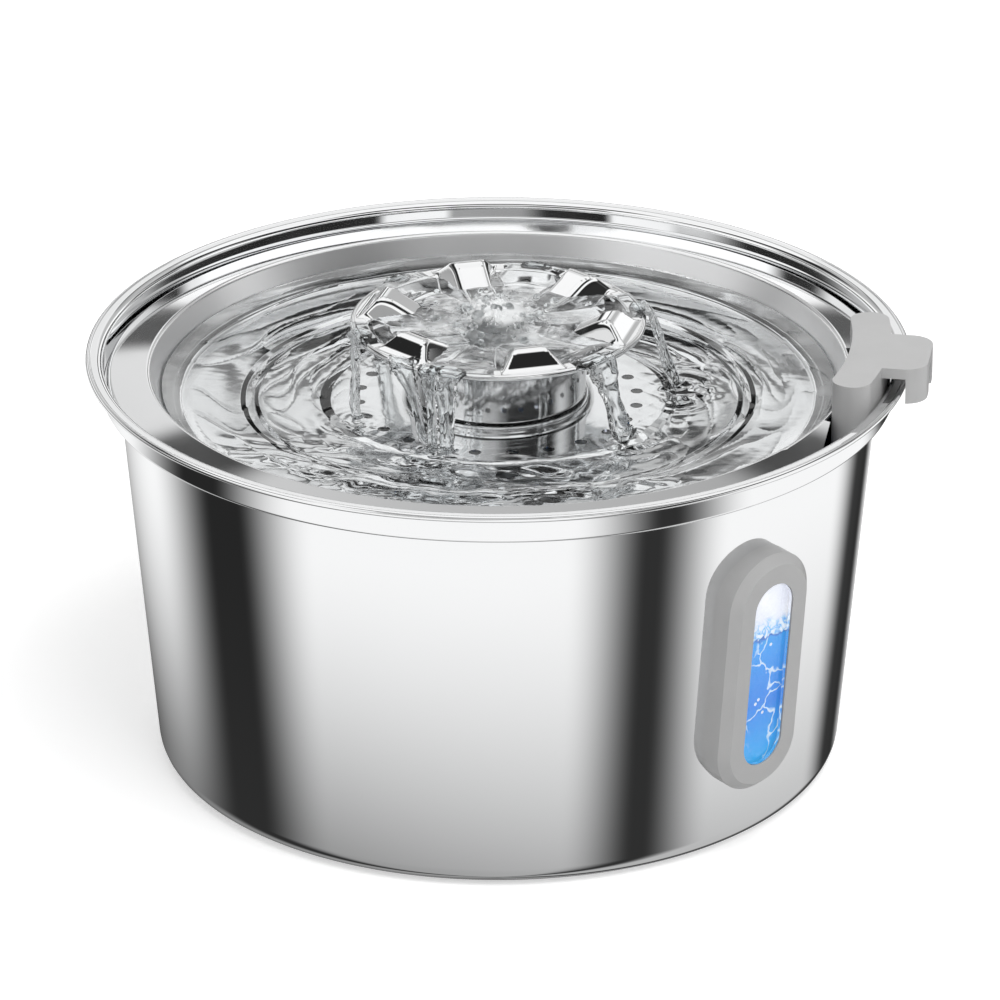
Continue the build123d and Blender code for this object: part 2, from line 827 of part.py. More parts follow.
with BuildPart() as volute_cover:
    with BuildSketch(front_plane(pump_front)):
        RectangleRounded(
            grille_inner_width - 2 * lift_gap,
            grille_inner_height - 2 * lift_gap,
            grille_corner - grille_wall,
        )
    extrude(amount=cover_plate)
    with BuildSketch(front_plane(pump_front + cover_rim)):
        Circle(chamber_radius - lift_gap)
        Circle(chamber_radius - lift_gap - cover_rim_wall, mode=Mode.SUBTRACT)
    extrude(amount=cover_rim)
    with BuildSketch(front_plane(front_bush_back)):
        Circle(bush_radius)
    extrude(amount=front_bush_back - pump_front)
    with BuildSketch(front_plane(cover_front)):
        Circle(dial_pin_radius)
    extrude(amount=dial_thickness + 2 * lift_gap)
    with BuildSketch(front_plane(pump_front)):
        with PolarLocations(0, 2):
            add(port_outline)
    extrude(amount=cover_plate, mode=Mode.SUBTRACT)
    with BuildSketch(front_plane(front_bush_back)):
        Circle(bush_radius - bush_wall)
    extrude(amount=front_bush_back - front_bush_front, mode=Mode.SUBTRACT)

with BuildPart() as front_bush:
    with BuildSketch(front_plane(front_bush_back)):
        Circle(bush_radius - bush_wall)
        Circle(shaft_radius + running_gap, mode=Mode.SUBTRACT)
    extrude(amount=front_bush_back - front_bush_front)

with BuildPart() as flow_dial:
    with BuildSketch(front_plane(dial_back)):
        Circle(dial_radius)
        with Locations((0, dial_radius)):
            Rectangle(dial_tab_width, 2 * dial_tab_length)
        with PolarLocations(0, 2):
            add(port_outline, mode=Mode.SUBTRACT)
        Circle(dial_pin_radius + running_gap, mode=Mode.SUBTRACT)
    extrude(amount=dial_thickness)

with BuildPart() as intake_foam:
    with BuildSketch(front_plane(foam_back)):
        RectangleRounded(
            grille_inner_width - 2 * lift_gap,
            grille_inner_height - 2 * lift_gap,
            grille_corner - grille_wall,
        )
    extrude(amount=foam_back - grille_front - grille_wall)

with BuildPart() as intake_cover:
    with BuildSketch(front_plane(pump_front)):
        RectangleRounded(grille_width, grille_height, grille_corner)
    extrude(amount=pump_front - grille_front)
    fillet(intake_cover.faces().sort_by(Axis.Y)[0].edges(), grille_edge)
    with BuildSketch(front_plane(pump_front)):
        RectangleRounded(grille_inner_width, grille_inner_height, grille_corner - grille_wall)
    extrude(amount=pump_front - grille_front - grille_wall, mode=Mode.SUBTRACT)
    with BuildSketch(front_plane(grille_front + grille_wall)):
        with GridLocations(grille_inner_width / grille_slots, 1, grille_slots, 1):
            SlotOverall(grille_inner_height - 2 * grille_slot_end, grille_slot_width, rotation=90)
    extrude(amount=grille_wall, mode=Mode.SUBTRACT)

# ------------------------------------------------------------------ cord inlet and lamp
with BuildPart() as cord_gland:
    with BuildSketch(side_plane(pocket_width / 2)):
        with Locations((gland_side, gland_height)):
            Circle(gland_radius)
    extrude(amount=(pump_width - pocket_width) / 2)
    with BuildSketch(side_plane(pump_width / 2)):
        with Locations((gland_side, gland_height)):
            Circle(gland_radius + gland_collar)
    extrude(amount=gland_collar)
    with BuildSketch(side_plane(pump_width / 2 + gland_collar)):
        with Locations((gland_side, gland_height)):
            Circle(gland_radius - gland_collar / 2)
    extrude(amount=gland_length - gland_collar, taper=gland_taper)
    with BuildSketch(side_plane(pocket_width / 2)):
        with Locations((gland_side, gland_height)):
            Circle(cord_radius)
    extrude(amount=pump_width + gland_length, mode=Mode.SUBTRACT)

with BuildPart() as lamp_lens:
    with BuildSketch(side_plane(pocket_width / 2)):
        with Locations((lamp_side, lamp_height)):
            Circle(lamp_radius)
    extrude(amount=(pump_width - pocket_width) / 2 + lamp_proud)
    fillet(lamp_lens.edges().sort_by(Axis.X)[-1], lamp_proud / 2)

# ------------------------------------------------------------------ filter
case_inside = case_radius - case_wall
slot_reach = case_inside - case_stem_radius - 2 * slot_end
media_outline_outer = case_inside - seat_gap
media_outline_inner = case_stem_radius + seat_gap

with BuildPart() as filter_case:
    with BuildSketch(Plane.XY.offset(case_floor)):
        Circle(case_radius)
    extrude(amount=case_top - case_floor)
    fillet(filter_case.faces().sort_by(Axis.Z)[0].edges(), case_edge)
    with BuildSketch(Plane.XY.offset(case_floor + case_wall)):
        Circle(case_inside)
    extrude(amount=case_top - case_floor - case_wall, mode=Mode.SUBTRACT)
    with BuildSketch(Plane.XY.offset(pump_top)):
        Circle(case_stem_radius)
    extrude(amount=case_stem_top - pump_top)
    with BuildSketch(Plane.XY.offset(case_floor)):
        with PolarLocations((case_inside + case_stem_radius) / 2, slot_count):
            SlotOverall(slot_reach, slot_width)
    extrude(amount=case_wall, mode=Mode.SUBTRACT)
    with BuildSketch(Plane.XY.offset(pump_top)):
        Circle(case_stem_bore)
    extrude(amount=case_stem_top - pump_top, mode=Mode.SUBTRACT)


def media_layer(foot, height):
    """Ring-shaped filter layer that stands at a height in the case."""
    with BuildPart() as layer:
        with BuildSketch(Plane.XY.offset(foot)):
            Circle(media_outline_outer)
            Circle(media_outline_inner, mode=Mode.SUBTRACT)
        extrude(amount=height)
    return layer.part


with BuildPart() as filter_resin:
    add(media_layer(media_floor, resin_height))

with BuildPart() as filter_carbon:
    add(media_layer(media_floor + resin_height, carbon_height))

with BuildPart() as filter_cotton:
    add(media_layer(media_floor + resin_height + carbon_height, cotton_height))

with BuildPart() as filter_lid:
    with BuildSketch(Plane.XY.offset(case_top)):
        Circle(case_radius)
    extrude(amount=lid_top - case_top)
    fillet(filter_lid.faces().sort_by(Axis.Z)[-1].edges(), lid_edge)
    with BuildSketch(Plane.XY.offset(case_top - lid_skirt)):
        Circle(case_inside - lift_gap)
    extrude(amount=lid_skirt)
    with BuildSketch(Plane.XY.offset(case_top - lid_skirt)):
        Circle(case_inside - lift_gap - lid_skirt_wall)
    extrude(amount=lid_top - lid_thickness - case_top + lid_skirt, mode=Mode.SUBTRACT)
    with BuildSketch(Plane.XY.offset(lid_top)):
        Circle(riser_socket_radius + lift_gap)
        with PolarLocations((case_inside + case_stem_radius) / 2, slot_count):
            SlotOverall(slot_reach, slot_width)
    extrude(amount=-lid_thickness, mode=Mode.SUBTRACT)

# ------------------------------------------------------------------ cable clip
clip_outline = arc_band(clip_inner_radius, clip_outer_radius, clip_half_angle, clip_corner)
clip_hollow = arc_band(
    clip_inner_radius + clip_wall,
    clip_outer_radius - clip_wall,
    clip_half_angle - math.degrees(clip_wall / clip_inner_radius),
    clip_corner - clip_wall,
)
hang_radius = wall_radius(clip_hang) - 2 * sheet
clip_under = clip_top - clip_plate
clip_slot_reach = 3 * clip_wall
leg_radius = lip_radius + clip_leg_gap

with BuildSketch() as clip_stem:
    with Locations(((clip_reach + clip_outer_radius - clip_wall) / 2, 0)):
        Rectangle(clip_reach - clip_outer_radius + clip_wall, clip_stem_width)
    fillet(clip_stem.vertices().group_by(Axis.X)[-1], clip_stem_corner)

with BuildPart() as cable_clip:
    with BuildSketch(Plane.XY.offset(ledge_top)):
        add(clip_outline)
    extrude(amount=clip_top - ledge_top)
    with BuildSketch(Plane.XY.offset(clip_hang)):
        add(clip_outline)
        Circle(hang_radius, mode=Mode.INTERSECT)
    extrude(amount=ledge_top - clip_hang)
    with BuildSketch(Plane.XY.offset(clip_under)):
        add(clip_stem.sketch)
    extrude(amount=clip_plate)
    with BuildSketch(Plane.XY.offset(clip_leg_bottom)):
        add(clip_stem.sketch)
        Circle(leg_radius, mode=Mode.SUBTRACT)
        with Locations((clip_reach, 0)):
            Rectangle(2 * (clip_reach - lip_radius), clip_slot, mode=Mode.SUBTRACT)
    extrude(amount=clip_under - clip_leg_bottom)
    with BuildSketch(Plane.XY.offset(clip_hang)):
        add(clip_hollow)
    extrude(amount=clip_under - clip_hang, mode=Mode.SUBTRACT)
    with BuildSketch(Plane.XY.offset(ledge_top)):
        with Locations((clip_outer_radius, 0)):
            Rectangle(clip_slot_reach, clip_slot)
    extrude(amount=clip_under - ledge_top, mode=Mode.SUBTRACT)

# ------------------------------------------------------------------ output
bowl.part.label = "bowl"
export_step(bowl.part, "parts/bowl.step")
window_gasket.part.label = "window_gasket"
export_step(window_gasket.part, "parts/window_gasket.step")
window_frame.part.label = "window_frame"
export_step(window_frame.part, "parts/window_frame.step")
window_lens.part.label = "window_lens"
export_step(window_lens.part, "parts/window_lens.step")
window_back_frame.part.label = "window_back_frame"
export_step(window_back_frame.part, "parts/window_back_frame.step")
window_screws.part.label = "window_screws"
export_step(window_screws.part, "parts/window_screws.step")
tray.part.label = "tray"
export_step(tray.part, "parts/tray.step")
spout_flower.part.label = "spout_flower"
export_step(spout_flower.part, "parts/spout_flower.step")
spout_neck.part.label = "spout_neck"
export_step(spout_neck.part, "parts/spout_neck.step")
spout_seal.part.label = "spout_seal"
export_step(spout_seal.part, "parts/spout_seal.step")
spout_adapter.part.label = "spout_adapter"
export_step(spout_adapter.part, "parts/spout_adapter.step")
riser_tube.part.label = "riser_tube"
export_step(riser_tube.part, "parts/riser_tube.step")
riser_seal.part.label = "riser_seal"
export_step(riser_seal.part, "parts/riser_seal.step")
pump_housing.part.label = "pump_housing"
export_step(pump_housing.part, "parts/pump_housing.step")
suction_cups.part.label = "suction_cups"
export_step(suction_cups.part, "parts/suction_cups.step")
stator_core.part.label = "stator_core"
export_step(stator_core.part, "parts/stator_core.step")
coils.part.label = "coils"
export_step(coils.part, "parts/coils.step")
circuit_board.part.label = "circuit_board"
export_step(circuit_board.part, "parts/circuit_board.step")
potting.part.label = "potting"
export_step(potting.part, "parts/potting.step")
pump_shaft.part.label = "pump_shaft"
export_step(pump_shaft.part, "parts/pump_shaft.step")
rear_bush.part.label = "rear_bush"
export_step(rear_bush.part, "parts/rear_bush.step")
impeller.part.label = "impeller"
export_step(impeller.part, "parts/impeller.step")
rotor_magnet.part.label = "rotor_magnet"
export_step(rotor_magnet.part, "parts/rotor_magnet.step")
volute_cover.part.label = "volute_cover"
export_step(volute_cover.part, "parts/volute_cover.step")
front_bush.part.label = "front_bush"
export_step(front_bush.part, "parts/front_bush.step")
flow_dial.part.label = "flow_dial"
export_step(flow_dial.part, "parts/flow_dial.step")
intake_foam.part.label = "intake_foam"
export_step(intake_foam.part, "parts/intake_foam.step")
intake_cover.part.label = "intake_cover"
export_step(intake_cover.part, "parts/intake_cover.step")
cord_gland.part.label = "cord_gland"
export_step(cord_gland.part, "parts/cord_gland.step")
lamp_lens.part.label = "lamp_lens"
export_step(lamp_lens.part, "parts/lamp_lens.step")
filter_case.part.label = "filter_case"
export_step(filter_case.part, "parts/filter_case.step")
filter_resin.part.label = "filter_resin"
export_step(filter_resin.part, "parts/filter_resin.step")
filter_carbon.part.label = "filter_carbon"
export_step(filter_carbon.part, "parts/filter_carbon.step")
filter_cotton.part.label = "filter_cotton"
export_step(filter_cotton.part, "parts/filter_cotton.step")
filter_lid.part.label = "filter_lid"
export_step(filter_lid.part, "parts/filter_lid.step")
cable_clip.part.label = "cable_clip"
export_step(cable_clip.part, "parts/cable_clip.step")
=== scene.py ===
import itertools
import json
import math

import bmesh
import bpy
import numpy as np
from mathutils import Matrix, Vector
from mathutils.geometry import delaunay_2d_cdt


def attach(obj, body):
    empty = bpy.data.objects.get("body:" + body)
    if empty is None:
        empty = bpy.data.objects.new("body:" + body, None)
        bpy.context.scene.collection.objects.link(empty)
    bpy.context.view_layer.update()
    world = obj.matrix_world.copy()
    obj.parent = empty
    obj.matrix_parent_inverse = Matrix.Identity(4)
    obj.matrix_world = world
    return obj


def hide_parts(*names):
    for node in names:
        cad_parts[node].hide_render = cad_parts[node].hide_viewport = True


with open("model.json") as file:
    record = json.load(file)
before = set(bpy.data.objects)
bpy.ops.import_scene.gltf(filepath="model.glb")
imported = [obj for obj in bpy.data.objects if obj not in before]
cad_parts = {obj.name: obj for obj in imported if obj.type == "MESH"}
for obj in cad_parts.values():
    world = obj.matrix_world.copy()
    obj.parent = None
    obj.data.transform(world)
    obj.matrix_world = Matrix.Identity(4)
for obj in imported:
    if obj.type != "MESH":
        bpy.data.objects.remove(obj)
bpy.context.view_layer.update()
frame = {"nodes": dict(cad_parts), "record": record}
nodes = frame["nodes"]

# ---- sizes, in millimetres
MM = 0.001
SHEET = 0.8
BASE_RADIUS = 96.3
BASE_CORNER = 6.0
WALL_TOP_RADIUS = 105.9
STEP = 109.6
COLLAR_RADIUS = 110.9
STEP_BEND = 1.0
LIP_UNDER = 118.0
LIP_BEND = 1.2
LIP_BEAD_RADIUS = 114.1
LIP_BEAD_HEIGHT = 118.1
BEAD = 0.9
WINDOW_AZIMUTH = -38.2
WINDOW_HEIGHT = 57.0
WALL_CUT = (19.2, 61.0)
FLANGE_RADIUS = 109.2
FLANGE_FOOT = 110.4
FLANGE_EDGE = 113.6
TRAY_RIM_RADIUS = 97.3
TRAY_RIM = 114.8
TRAY_FOOT_RADIUS = 90.5
TRAY_FLOOR = 101.0
RING_RADIUS = 70.0
RING_WIDTH = 5.0
RING_DEPTH = 0.8
PLATEAU_RADIUS = 47.0
PLATEAU_SLOPE = 3.0
PLATEAU = 101.9
TRAY_HOLE_RADIUS = 12.0
DRAIN_CIRCLE = 39.0
DRAIN_RADIUS = 1.75
DRAINS = 24
NOTCH_RADIUS = 98.0
NOTCH_HALF_ANGLE = 15.29
THUMB_CUT_FACE = 96.3
NECK_RADIUS = 24.5
NECK_FOOT_RADIUS = 26.8
NECK_TOP = 121.8
DISH_FLOOR = 122.6
DISH_FLOOR_RADIUS = 30.0
DISH_RADIUS = 41.2
DISH_RIM = 127.9
DISH_LIP = 5.0
LIP_SINK = 0.2
DISH_HOLE_RADIUS = 6.8
PETALS = 6
PETAL_AZIMUTH = -5.7
PETAL_FOOT = 121.0
PETAL_CREST = 132.4
# Radius and half width of a petal's two ends, at the foot and at the crest.
PETAL_INNER = (10.2, 30.9)
PETAL_OUTER = (44.3, 33.5)
PETAL_INNER_HALF = (4.0, 4.0)
PETAL_OUTER_HALF = (15.0, 5.0)
POOL_LEVEL = 105.9
POOL_INNER_RADIUS = 24.0

CAMERA_AZIMUTH = 9.3
CAMERA_ELEVATION = 24.687
CAMERA_DISTANCE = 1.8764  # metres from CAMERA_CENTRE
CAMERA_LENS = 238.9
CAMERA_SENSOR = 36.0
CAMERA_CENTRE = 55.0  # height of the point on the axis that the camera is set round
CAMERA_SHIFT = (0.48, 15.97)  # how far right of that point and above it the camera looks


def along(azimuth, elevation=0.0):
    """Unit vector from the object towards a camera at this azimuth, in degrees."""
    a, e = math.radians(azimuth), math.radians(elevation)
    return Vector((math.sin(a) * math.cos(e), -math.cos(a) * math.cos(e), math.sin(e)))


def new_object(name, data):
    thing = bpy.data.objects.new(name, data)
    bpy.context.scene.collection.objects.link(thing)
    return thing


def aim(thing, place, target):
    """Puts a camera or a lamp at a place and turns it towards its target."""
    thing.location = place
    thing.rotation_mode = "QUATERNION"
    thing.rotation_quaternion = (target - place).to_track_quat("-Z", "Y")


# ---- camera
def make_camera():
    data = bpy.data.cameras.new("photo_camera")
    data.lens, data.sensor_width = CAMERA_LENS, CAMERA_SENSOR
    data.clip_start, data.clip_end = 0.05, 20.0
    back = along(CAMERA_AZIMUTH, CAMERA_ELEVATION)
    across = along(CAMERA_AZIMUTH + 90)
    centre = Vector((0, 0, CAMERA_CENTRE * MM))
    right, above = CAMERA_SHIFT
    target = centre + back.cross(across) * above * MM + across * right * MM
    camera = new_object("photo_camera", data)
    aim(camera, centre + back * CAMERA_DISTANCE, target)
    bpy.context.scene.camera = camera


make_camera()
bpy.context.scene.view_settings.view_transform = "Standard"


# ---- node helpers
class Nodes:
    """The nodes of a material or world, with short calls for what this script adds."""

    def __init__(self, owner, clear=False):
        owner.use_nodes = True
        self.nodes, self.links = owner.node_tree.nodes, owner.node_tree.links
        if clear:
            self.nodes.clear()

    def add(self, kind, inputs=(), **settings):
        node = self.nodes.new("ShaderNode" + kind)
        for key, value in settings.items():
            setattr(node, key, value)
        self.wire(node, dict(inputs))
        return node

    def wire(self, node, inputs):
        """Links or sets a node's inputs, which are given by name or number."""
        for key, value in inputs.items():
            if isinstance(value, bpy.types.NodeSocket):
                self.links.new(value, node.inputs[key])
            else:
                node.inputs[key].default_value = value

    def feed(self, kind, *values, **settings):
        """The outputs of a new node whose first inputs are the values."""
        return self.add(kind, dict(enumerate(values)), **settings).outputs

    def maths(self, operation, *values):
        return self.feed("Math", *values, operation=operation)[0]

    def spread(self, value, low, high, start=0.0, end=1.0, way="SMOOTHSTEP"):
        """Maps value from low..high to start..end."""
        return self.feed("MapRange", value, low, high, start, end, interpolation_type=way)[0]

    def ramp(self, value, stops, interpolation="LINEAR"):
        node = self.add("ValToRGB")
        node.color_ramp.interpolation = interpolation
        elements = node.color_ramp.elements
        while len(elements) > 1:
            elements.remove(elements[-1])
        for i, (place, colour) in enumerate(stops):
            element = elements[0] if i == 0 else elements.new(place)
            element.position = place
            element.color = (*colour, 1.0)
        self.wire(node, {0: value})
        return node.outputs[0]

    def mix(self, factor, one, two):
        """A colour between two."""
        one, two = ((*c, 1.0) if isinstance(c, tuple) else c for c in (one, two))
        return self.add("Mix", {0: factor, 6: one, 7: two}, data_type="RGBA").outputs[2]

    def split(self, vector):
        """The x, y and z of a vector."""
        return self.feed("SeparateXYZ", vector)[:3]

    def from_axis(self, place):
        """Distance of a place from the axis."""
        x, y, _ = self.split(place)
        return self.maths("SQRT", self.maths("MULTIPLY_ADD", y, y, self.maths("MULTIPLY", x, x)))

    def camera_parts(self, vector):
        """A vector's parts to the camera's right, away from it and up."""
        inputs = {"Vector": vector, "Angle": math.radians(-CAMERA_AZIMUTH)}
        return self.split(self.add("VectorRotate", inputs, rotation_type="Z_AXIS").outputs[0])

    def ray_kinds(self):
        """Whether a ray is the camera's own, and whether steel or water has sent it on."""
        kind = self.feed("LightPath")
        mirrored = self.maths("MAXIMUM", kind["Is Glossy Ray"], kind["Is Transmission Ray"])
        return kind["Is Camera Ray"], mirrored

    def grain(self, scale, detail=3.0, distortion=0.0, place=None, output="Fac"):
        inputs = {"Vector": self.place if place is None else place, "Scale": scale}
        inputs |= {"Detail": detail, "Distortion": distortion}
        return self.add("TexNoise", inputs).outputs[output]

    def cells(self, scale, feature="F1", place=None, output="Distance"):
        inputs = {"Vector": self.place if place is None else place, "Scale": scale}
        return self.add("TexVoronoi", inputs, feature=feature).outputs[output]

    def relief(self, height, distance, strength=1.0):
        inputs = {"Strength": strength, "Distance": distance, "Height": height}
        return self.add("Bump", inputs).outputs[0]


# ---- studio
# What the steel mirrors at each height: the studio's shades round the object, from behind it,
# over its left, the camera at 0 and its right, to behind it again. Degrees: percent of white.
LOW = {
    -180: 45, -136: 98, -102: 2, -90: 2, -60: 98, 21: 98, 48: 3, 52: 3, 79: 98, 129: 98, 149: 4,
    158: 3, 171: 70,
}
HORIZON = {
    -180: 4, -120: 10, -95: 90, -45: 90, -30: 5, -8: 5, 5: 90, 28: 90, 44: 3, 56: 3, 72: 90,
    115: 90, 140: 5,
}
HIGH = {
    -180: 105, -140: 105, -116: 90, -104: 3, -94: 3, -84: 115, 92: 115, 101: 90, 109: 4, 127: 4,
    139: 105,
}
SHELF = {
    -180: 8, -172: 10, -164: 40, -140: 80, -60: 90, -30: 60, 0: 40, 12: 3, 76: 3, 90: 60, 140: 80,
    164: 40, 172: 10,
}
MIDDLE = {
    -180: 90, -173: 80, -167: 50, -140: 50, -112: 12, -80: 80, -40: 75, -8: 42, 8: 15, 16: 2, 72: 2,
    90: 60, 118: 6, 140: 50, 167: 50, 173: 84,
}
BEAM = {
    -180: 5, -173: 6, -166: 35, -146: 50, -130: 2, -85: 2, -60: 90, -37: 90, -33: 2, -12: 5, -6: 35,
    8: 25, 14: 3, 115: 2, 140: 50, 166: 35, 173: 6,
}
UPPER = {
    -180: 50, -168: 75, -158: 45, -146: 50, -130: 2, -64: 2, -60: 20, -54: 105, -37: 105, -34: 2,
    -16: 3, -6: 35, 14: 38, 17: 105, 35: 105, 39: 3, 60: 2, 72: 12, 80: 2, 115: 2, 135: 60, 158: 45,
    168: 35,
}
CEILING = {-180: 95, -80: 95, -55: 2, 60: 2, 85: 95}
ROOF = {-180: 100}
# The levels above LOW, each with the sines of height between which it takes over.
LEVELS = (
    (HORIZON, -0.10, -0.04), (HIGH, 0.10, 0.16), (SHELF, 0.28, 0.30), (MIDDLE, 0.34, 0.36),
    (BEAM, 0.46, 0.48), (UPPER, 0.52, 0.54), (ROOF, 0.65, 0.69), (CEILING, 0.78, 0.82),
    (ROOF, 0.91, 0.95),
)
ROUND_LIGHT = (0.56,) * 3  # the even light on all that isn't a mirror
WHITE = (1.0, 1.0, 1.0)

FLOOR_HALF = 4.0  # metres
FLOOR_DROP = 0.02  # keeps the floor clear of the bowl's base
FLOOR_COLOUR = (0.86, 0.86, 0.86, 1.0)
FLOOR_GLOW = 0.42  # lifts the camera's view of the floor near the object
FLOOR_FADE = (0.2, 0.9)  # metres from the axis between which the floor turns white
BASE_SHADE = (0.03, 0.03, 0.03, 1.0)
BASE_SHADE_RADII = (98 * MM, 250 * MM)
BASE_SHADE_FALL = 1.6
BASE_SHADE_DEPTH = (-0.2, 0.62)  # the slope to the camera's right, and in the middle

KEY_AZIMUTH = CAMERA_AZIMUTH + 35
KEY_ELEVATION = 66
KEY_DISTANCE = 1.6  # metres
KEY_SIZE = 1.0
KEY_POWER = 14.0


def shade_ramp(net, around, shades):
    shades = [*shades.items(), (180, shades[-180])]
    stops = [(angle / 360 + 0.5, (shade / 100,) * 3) for angle, shade in shades]
    return net.ramp(around, stops, "EASE")


def make_world():
    world = bpy.data.worlds.new("studio")
    bpy.context.scene.world = world
    net = Nodes(world, clear=True)
    right, away, up = net.camera_parts(net.feed("TexCoord")["Generated"])
    angle = net.maths("ARCTAN2", right, net.maths("MULTIPLY", away, -1.0))
    around = net.maths("MULTIPLY_ADD", angle, 0.5 / math.pi, 0.5)
    studio = shade_ramp(net, around, LOW)
    for shades, start, end in LEVELS:
        level = shade_ramp(net, around, shades)
        studio = net.mix(net.spread(up, start, end), studio, level)
    camera, mirrored = net.ray_kinds()
    seen = net.mix(camera, net.mix(mirrored, ROUND_LIGHT, studio), WHITE)
    net.feed("OutputWorld", net.feed("Background", seen, 1.0)[0])


def make_floor():
    mesh = bpy.data.meshes.new("floor")
    half = FLOOR_HALF
    corners = [(-half, -half, 0), (half, -half, 0), (half, half, 0), (-half, half, 0)]
    mesh.from_pydata(corners, [], [(0, 1, 2, 3)])
    floor = new_object("floor", mesh)
    floor.location.z = -FLOOR_DROP * MM
    mat = bpy.data.materials.new("floor")
    net = Nodes(mat, clear=True)
    place = net.feed("NewGeometry")["Position"]
    radius = net.from_axis(place)
    camera, mirrored = net.ray_kinds()
    # The floor fades to white away from the object, so that its far edge never shows.
    white = net.maths("MULTIPLY", camera, net.spread(radius, *FLOOR_FADE, FLOOR_GLOW, 1.0))
    glow = net.feed("Emission", (*WHITE, 1.0), white)[0]
    plain = net.feed("AddShader", net.feed("BsdfDiffuse", FLOOR_COLOUR)[0], glow)[0]
    # In the steel the floor only shows as the soft shade that gathers round the base.
    side = net.maths("DIVIDE", net.camera_parts(place)[0], radius)
    depth = net.maths("MULTIPLY_ADD", side, *BASE_SHADE_DEPTH)
    near = net.spread(radius, *BASE_SHADE_RADII, 1.0, 0.0, "LINEAR")
    near = net.maths("MULTIPLY", net.maths("POWER", near, BASE_SHADE_FALL), depth)
    clear, dark = net.feed("BsdfTransparent")[0], net.feed("Emission", BASE_SHADE, 1.0)[0]
    shadow = net.feed("MixShader", near, clear, dark)[0]
    net.feed("OutputMaterial", net.feed("MixShader", mirrored, plain, shadow)[0])
    mesh.materials.append(mat)


def make_key_lamp():
    data = bpy.data.lights.new("key", "AREA")
    data.size, data.energy = KEY_SIZE, KEY_POWER
    lamp = new_object("key", data)
    aim(lamp, along(KEY_AZIMUTH, KEY_ELEVATION) * KEY_DISTANCE, Vector())
    lamp.visible_glossy = lamp.visible_transmission = lamp.visible_camera = False


make_world()
make_floor()
make_key_lamp()


# ---- materials
# Noise scales are in bumps a metre.
STEEL_TINT = (0.95, 0.955, 0.96)
WATER_TINT = (0.97, 0.985, 0.99)
WATER_IOR = 1.333
PLASTIC_IOR = 1.49
BUMPED = 0.02 * MM  # fine relief of moulded and cast surfaces
POLISHED = 0.002 * MM


def dress(name, look, *settings, **named):
    """A material whose shader gets the inputs that a look works out."""
    mat = bpy.data.materials.new(name)
    net = Nodes(mat)
    net.place = net.feed("TexCoord")["Object"]
    net.wire(net.nodes["Principled BSDF"], look(net, *settings, **named))
    return mat


def tinted(colour, factor):
    return tuple(min(1.0, c * factor) for c in colour)


def finish(net, colour, rough, vary=0.06, patch=55.0, metal=0.0):
    """A moulded, cast, rubbed or ground surface: colour and gloss drift, and a fine relief."""
    return {
        "Base Color": net.mix(net.grain(patch), tinted(colour, 1 - vary), tinted(colour, 1 + vary)),
        "Roughness": net.spread(net.grain(patch * 3), 0.3, 0.7, rough * 0.85, rough * 1.15),
        "Metallic": metal,
        "Normal": net.relief(net.grain(900.0, 2.0), BUMPED),
    }


def steel(net, rough, satin=None):
    """Mirror-polished sheet with faint polishing marks that run round the axis.

    satin gives the inner and outer radius of a rubbed band and its roughness.
    """
    x, y, z = net.split(net.place)
    around = net.maths("MULTIPLY", net.maths("ARCTAN2", y, x), 0.01)
    marks = net.grain(1400.0, 4.0, place=net.feed("CombineXYZ", around, 0.0, z)[0])
    cloud = net.grain(30.0)
    gloss = net.spread(net.maths("ADD", marks, cloud), 0.7, 1.3, rough * 0.8, rough * 1.2)
    if satin:
        inner, outer, value = satin
        radius = net.from_axis(net.place)
        into = net.spread(radius, inner * MM, (inner + 1.5) * MM, 0.0, value)
        out = net.spread(radius, (outer - 0.8) * MM, (outer + 0.4) * MM, 1.0, 0.0)
        gloss = net.maths("MAXIMUM", gloss, net.maths("MULTIPLY", into, out))
    return {
        "Base Color": net.mix(cloud, tinted(STEEL_TINT, 0.98), STEEL_TINT),
        "Roughness": gloss,
        "Metallic": 1.0,
        "Normal": net.relief(marks, POLISHED, 0.25),
    }


def granules(net, dark, light, scale, rise, rough):
    """A bed of beads or grains."""
    tone = net.feed("SeparateColor", net.cells(scale, output="Color"))[0]
    return {
        "Base Color": net.mix(tone, dark, light),
        "Roughness": rough,
        "Normal": net.relief(net.spread(net.cells(scale), 0.0, 0.7, 1.0, 0.0), rise),
    }


def fibres(net, dark, light, scale, rise):
    """Open foam or matted fibre."""
    fuzz = net.grain(scale * 1.5, 5.0, 1.2)
    tone = net.maths("MULTIPLY", net.cells(scale, "SMOOTH_F1"), fuzz)
    colour = net.mix(net.spread(tone, 0.1, 0.35), dark, light)
    return {"Base Color": colour, "Roughness": 0.95, "Normal": net.relief(tone, rise)}


def clear_plastic(net, tint, rough=0.04):
    return {
        "Base Color": net.mix(net.grain(70.0), tint, tinted(tint, 1.03)),
        "Roughness": net.spread(net.grain(300.0), 0.3, 0.7, rough * 0.5, rough * 1.5),
        "Transmission Weight": 1.0,
        "IOR": PLASTIC_IOR,
    }


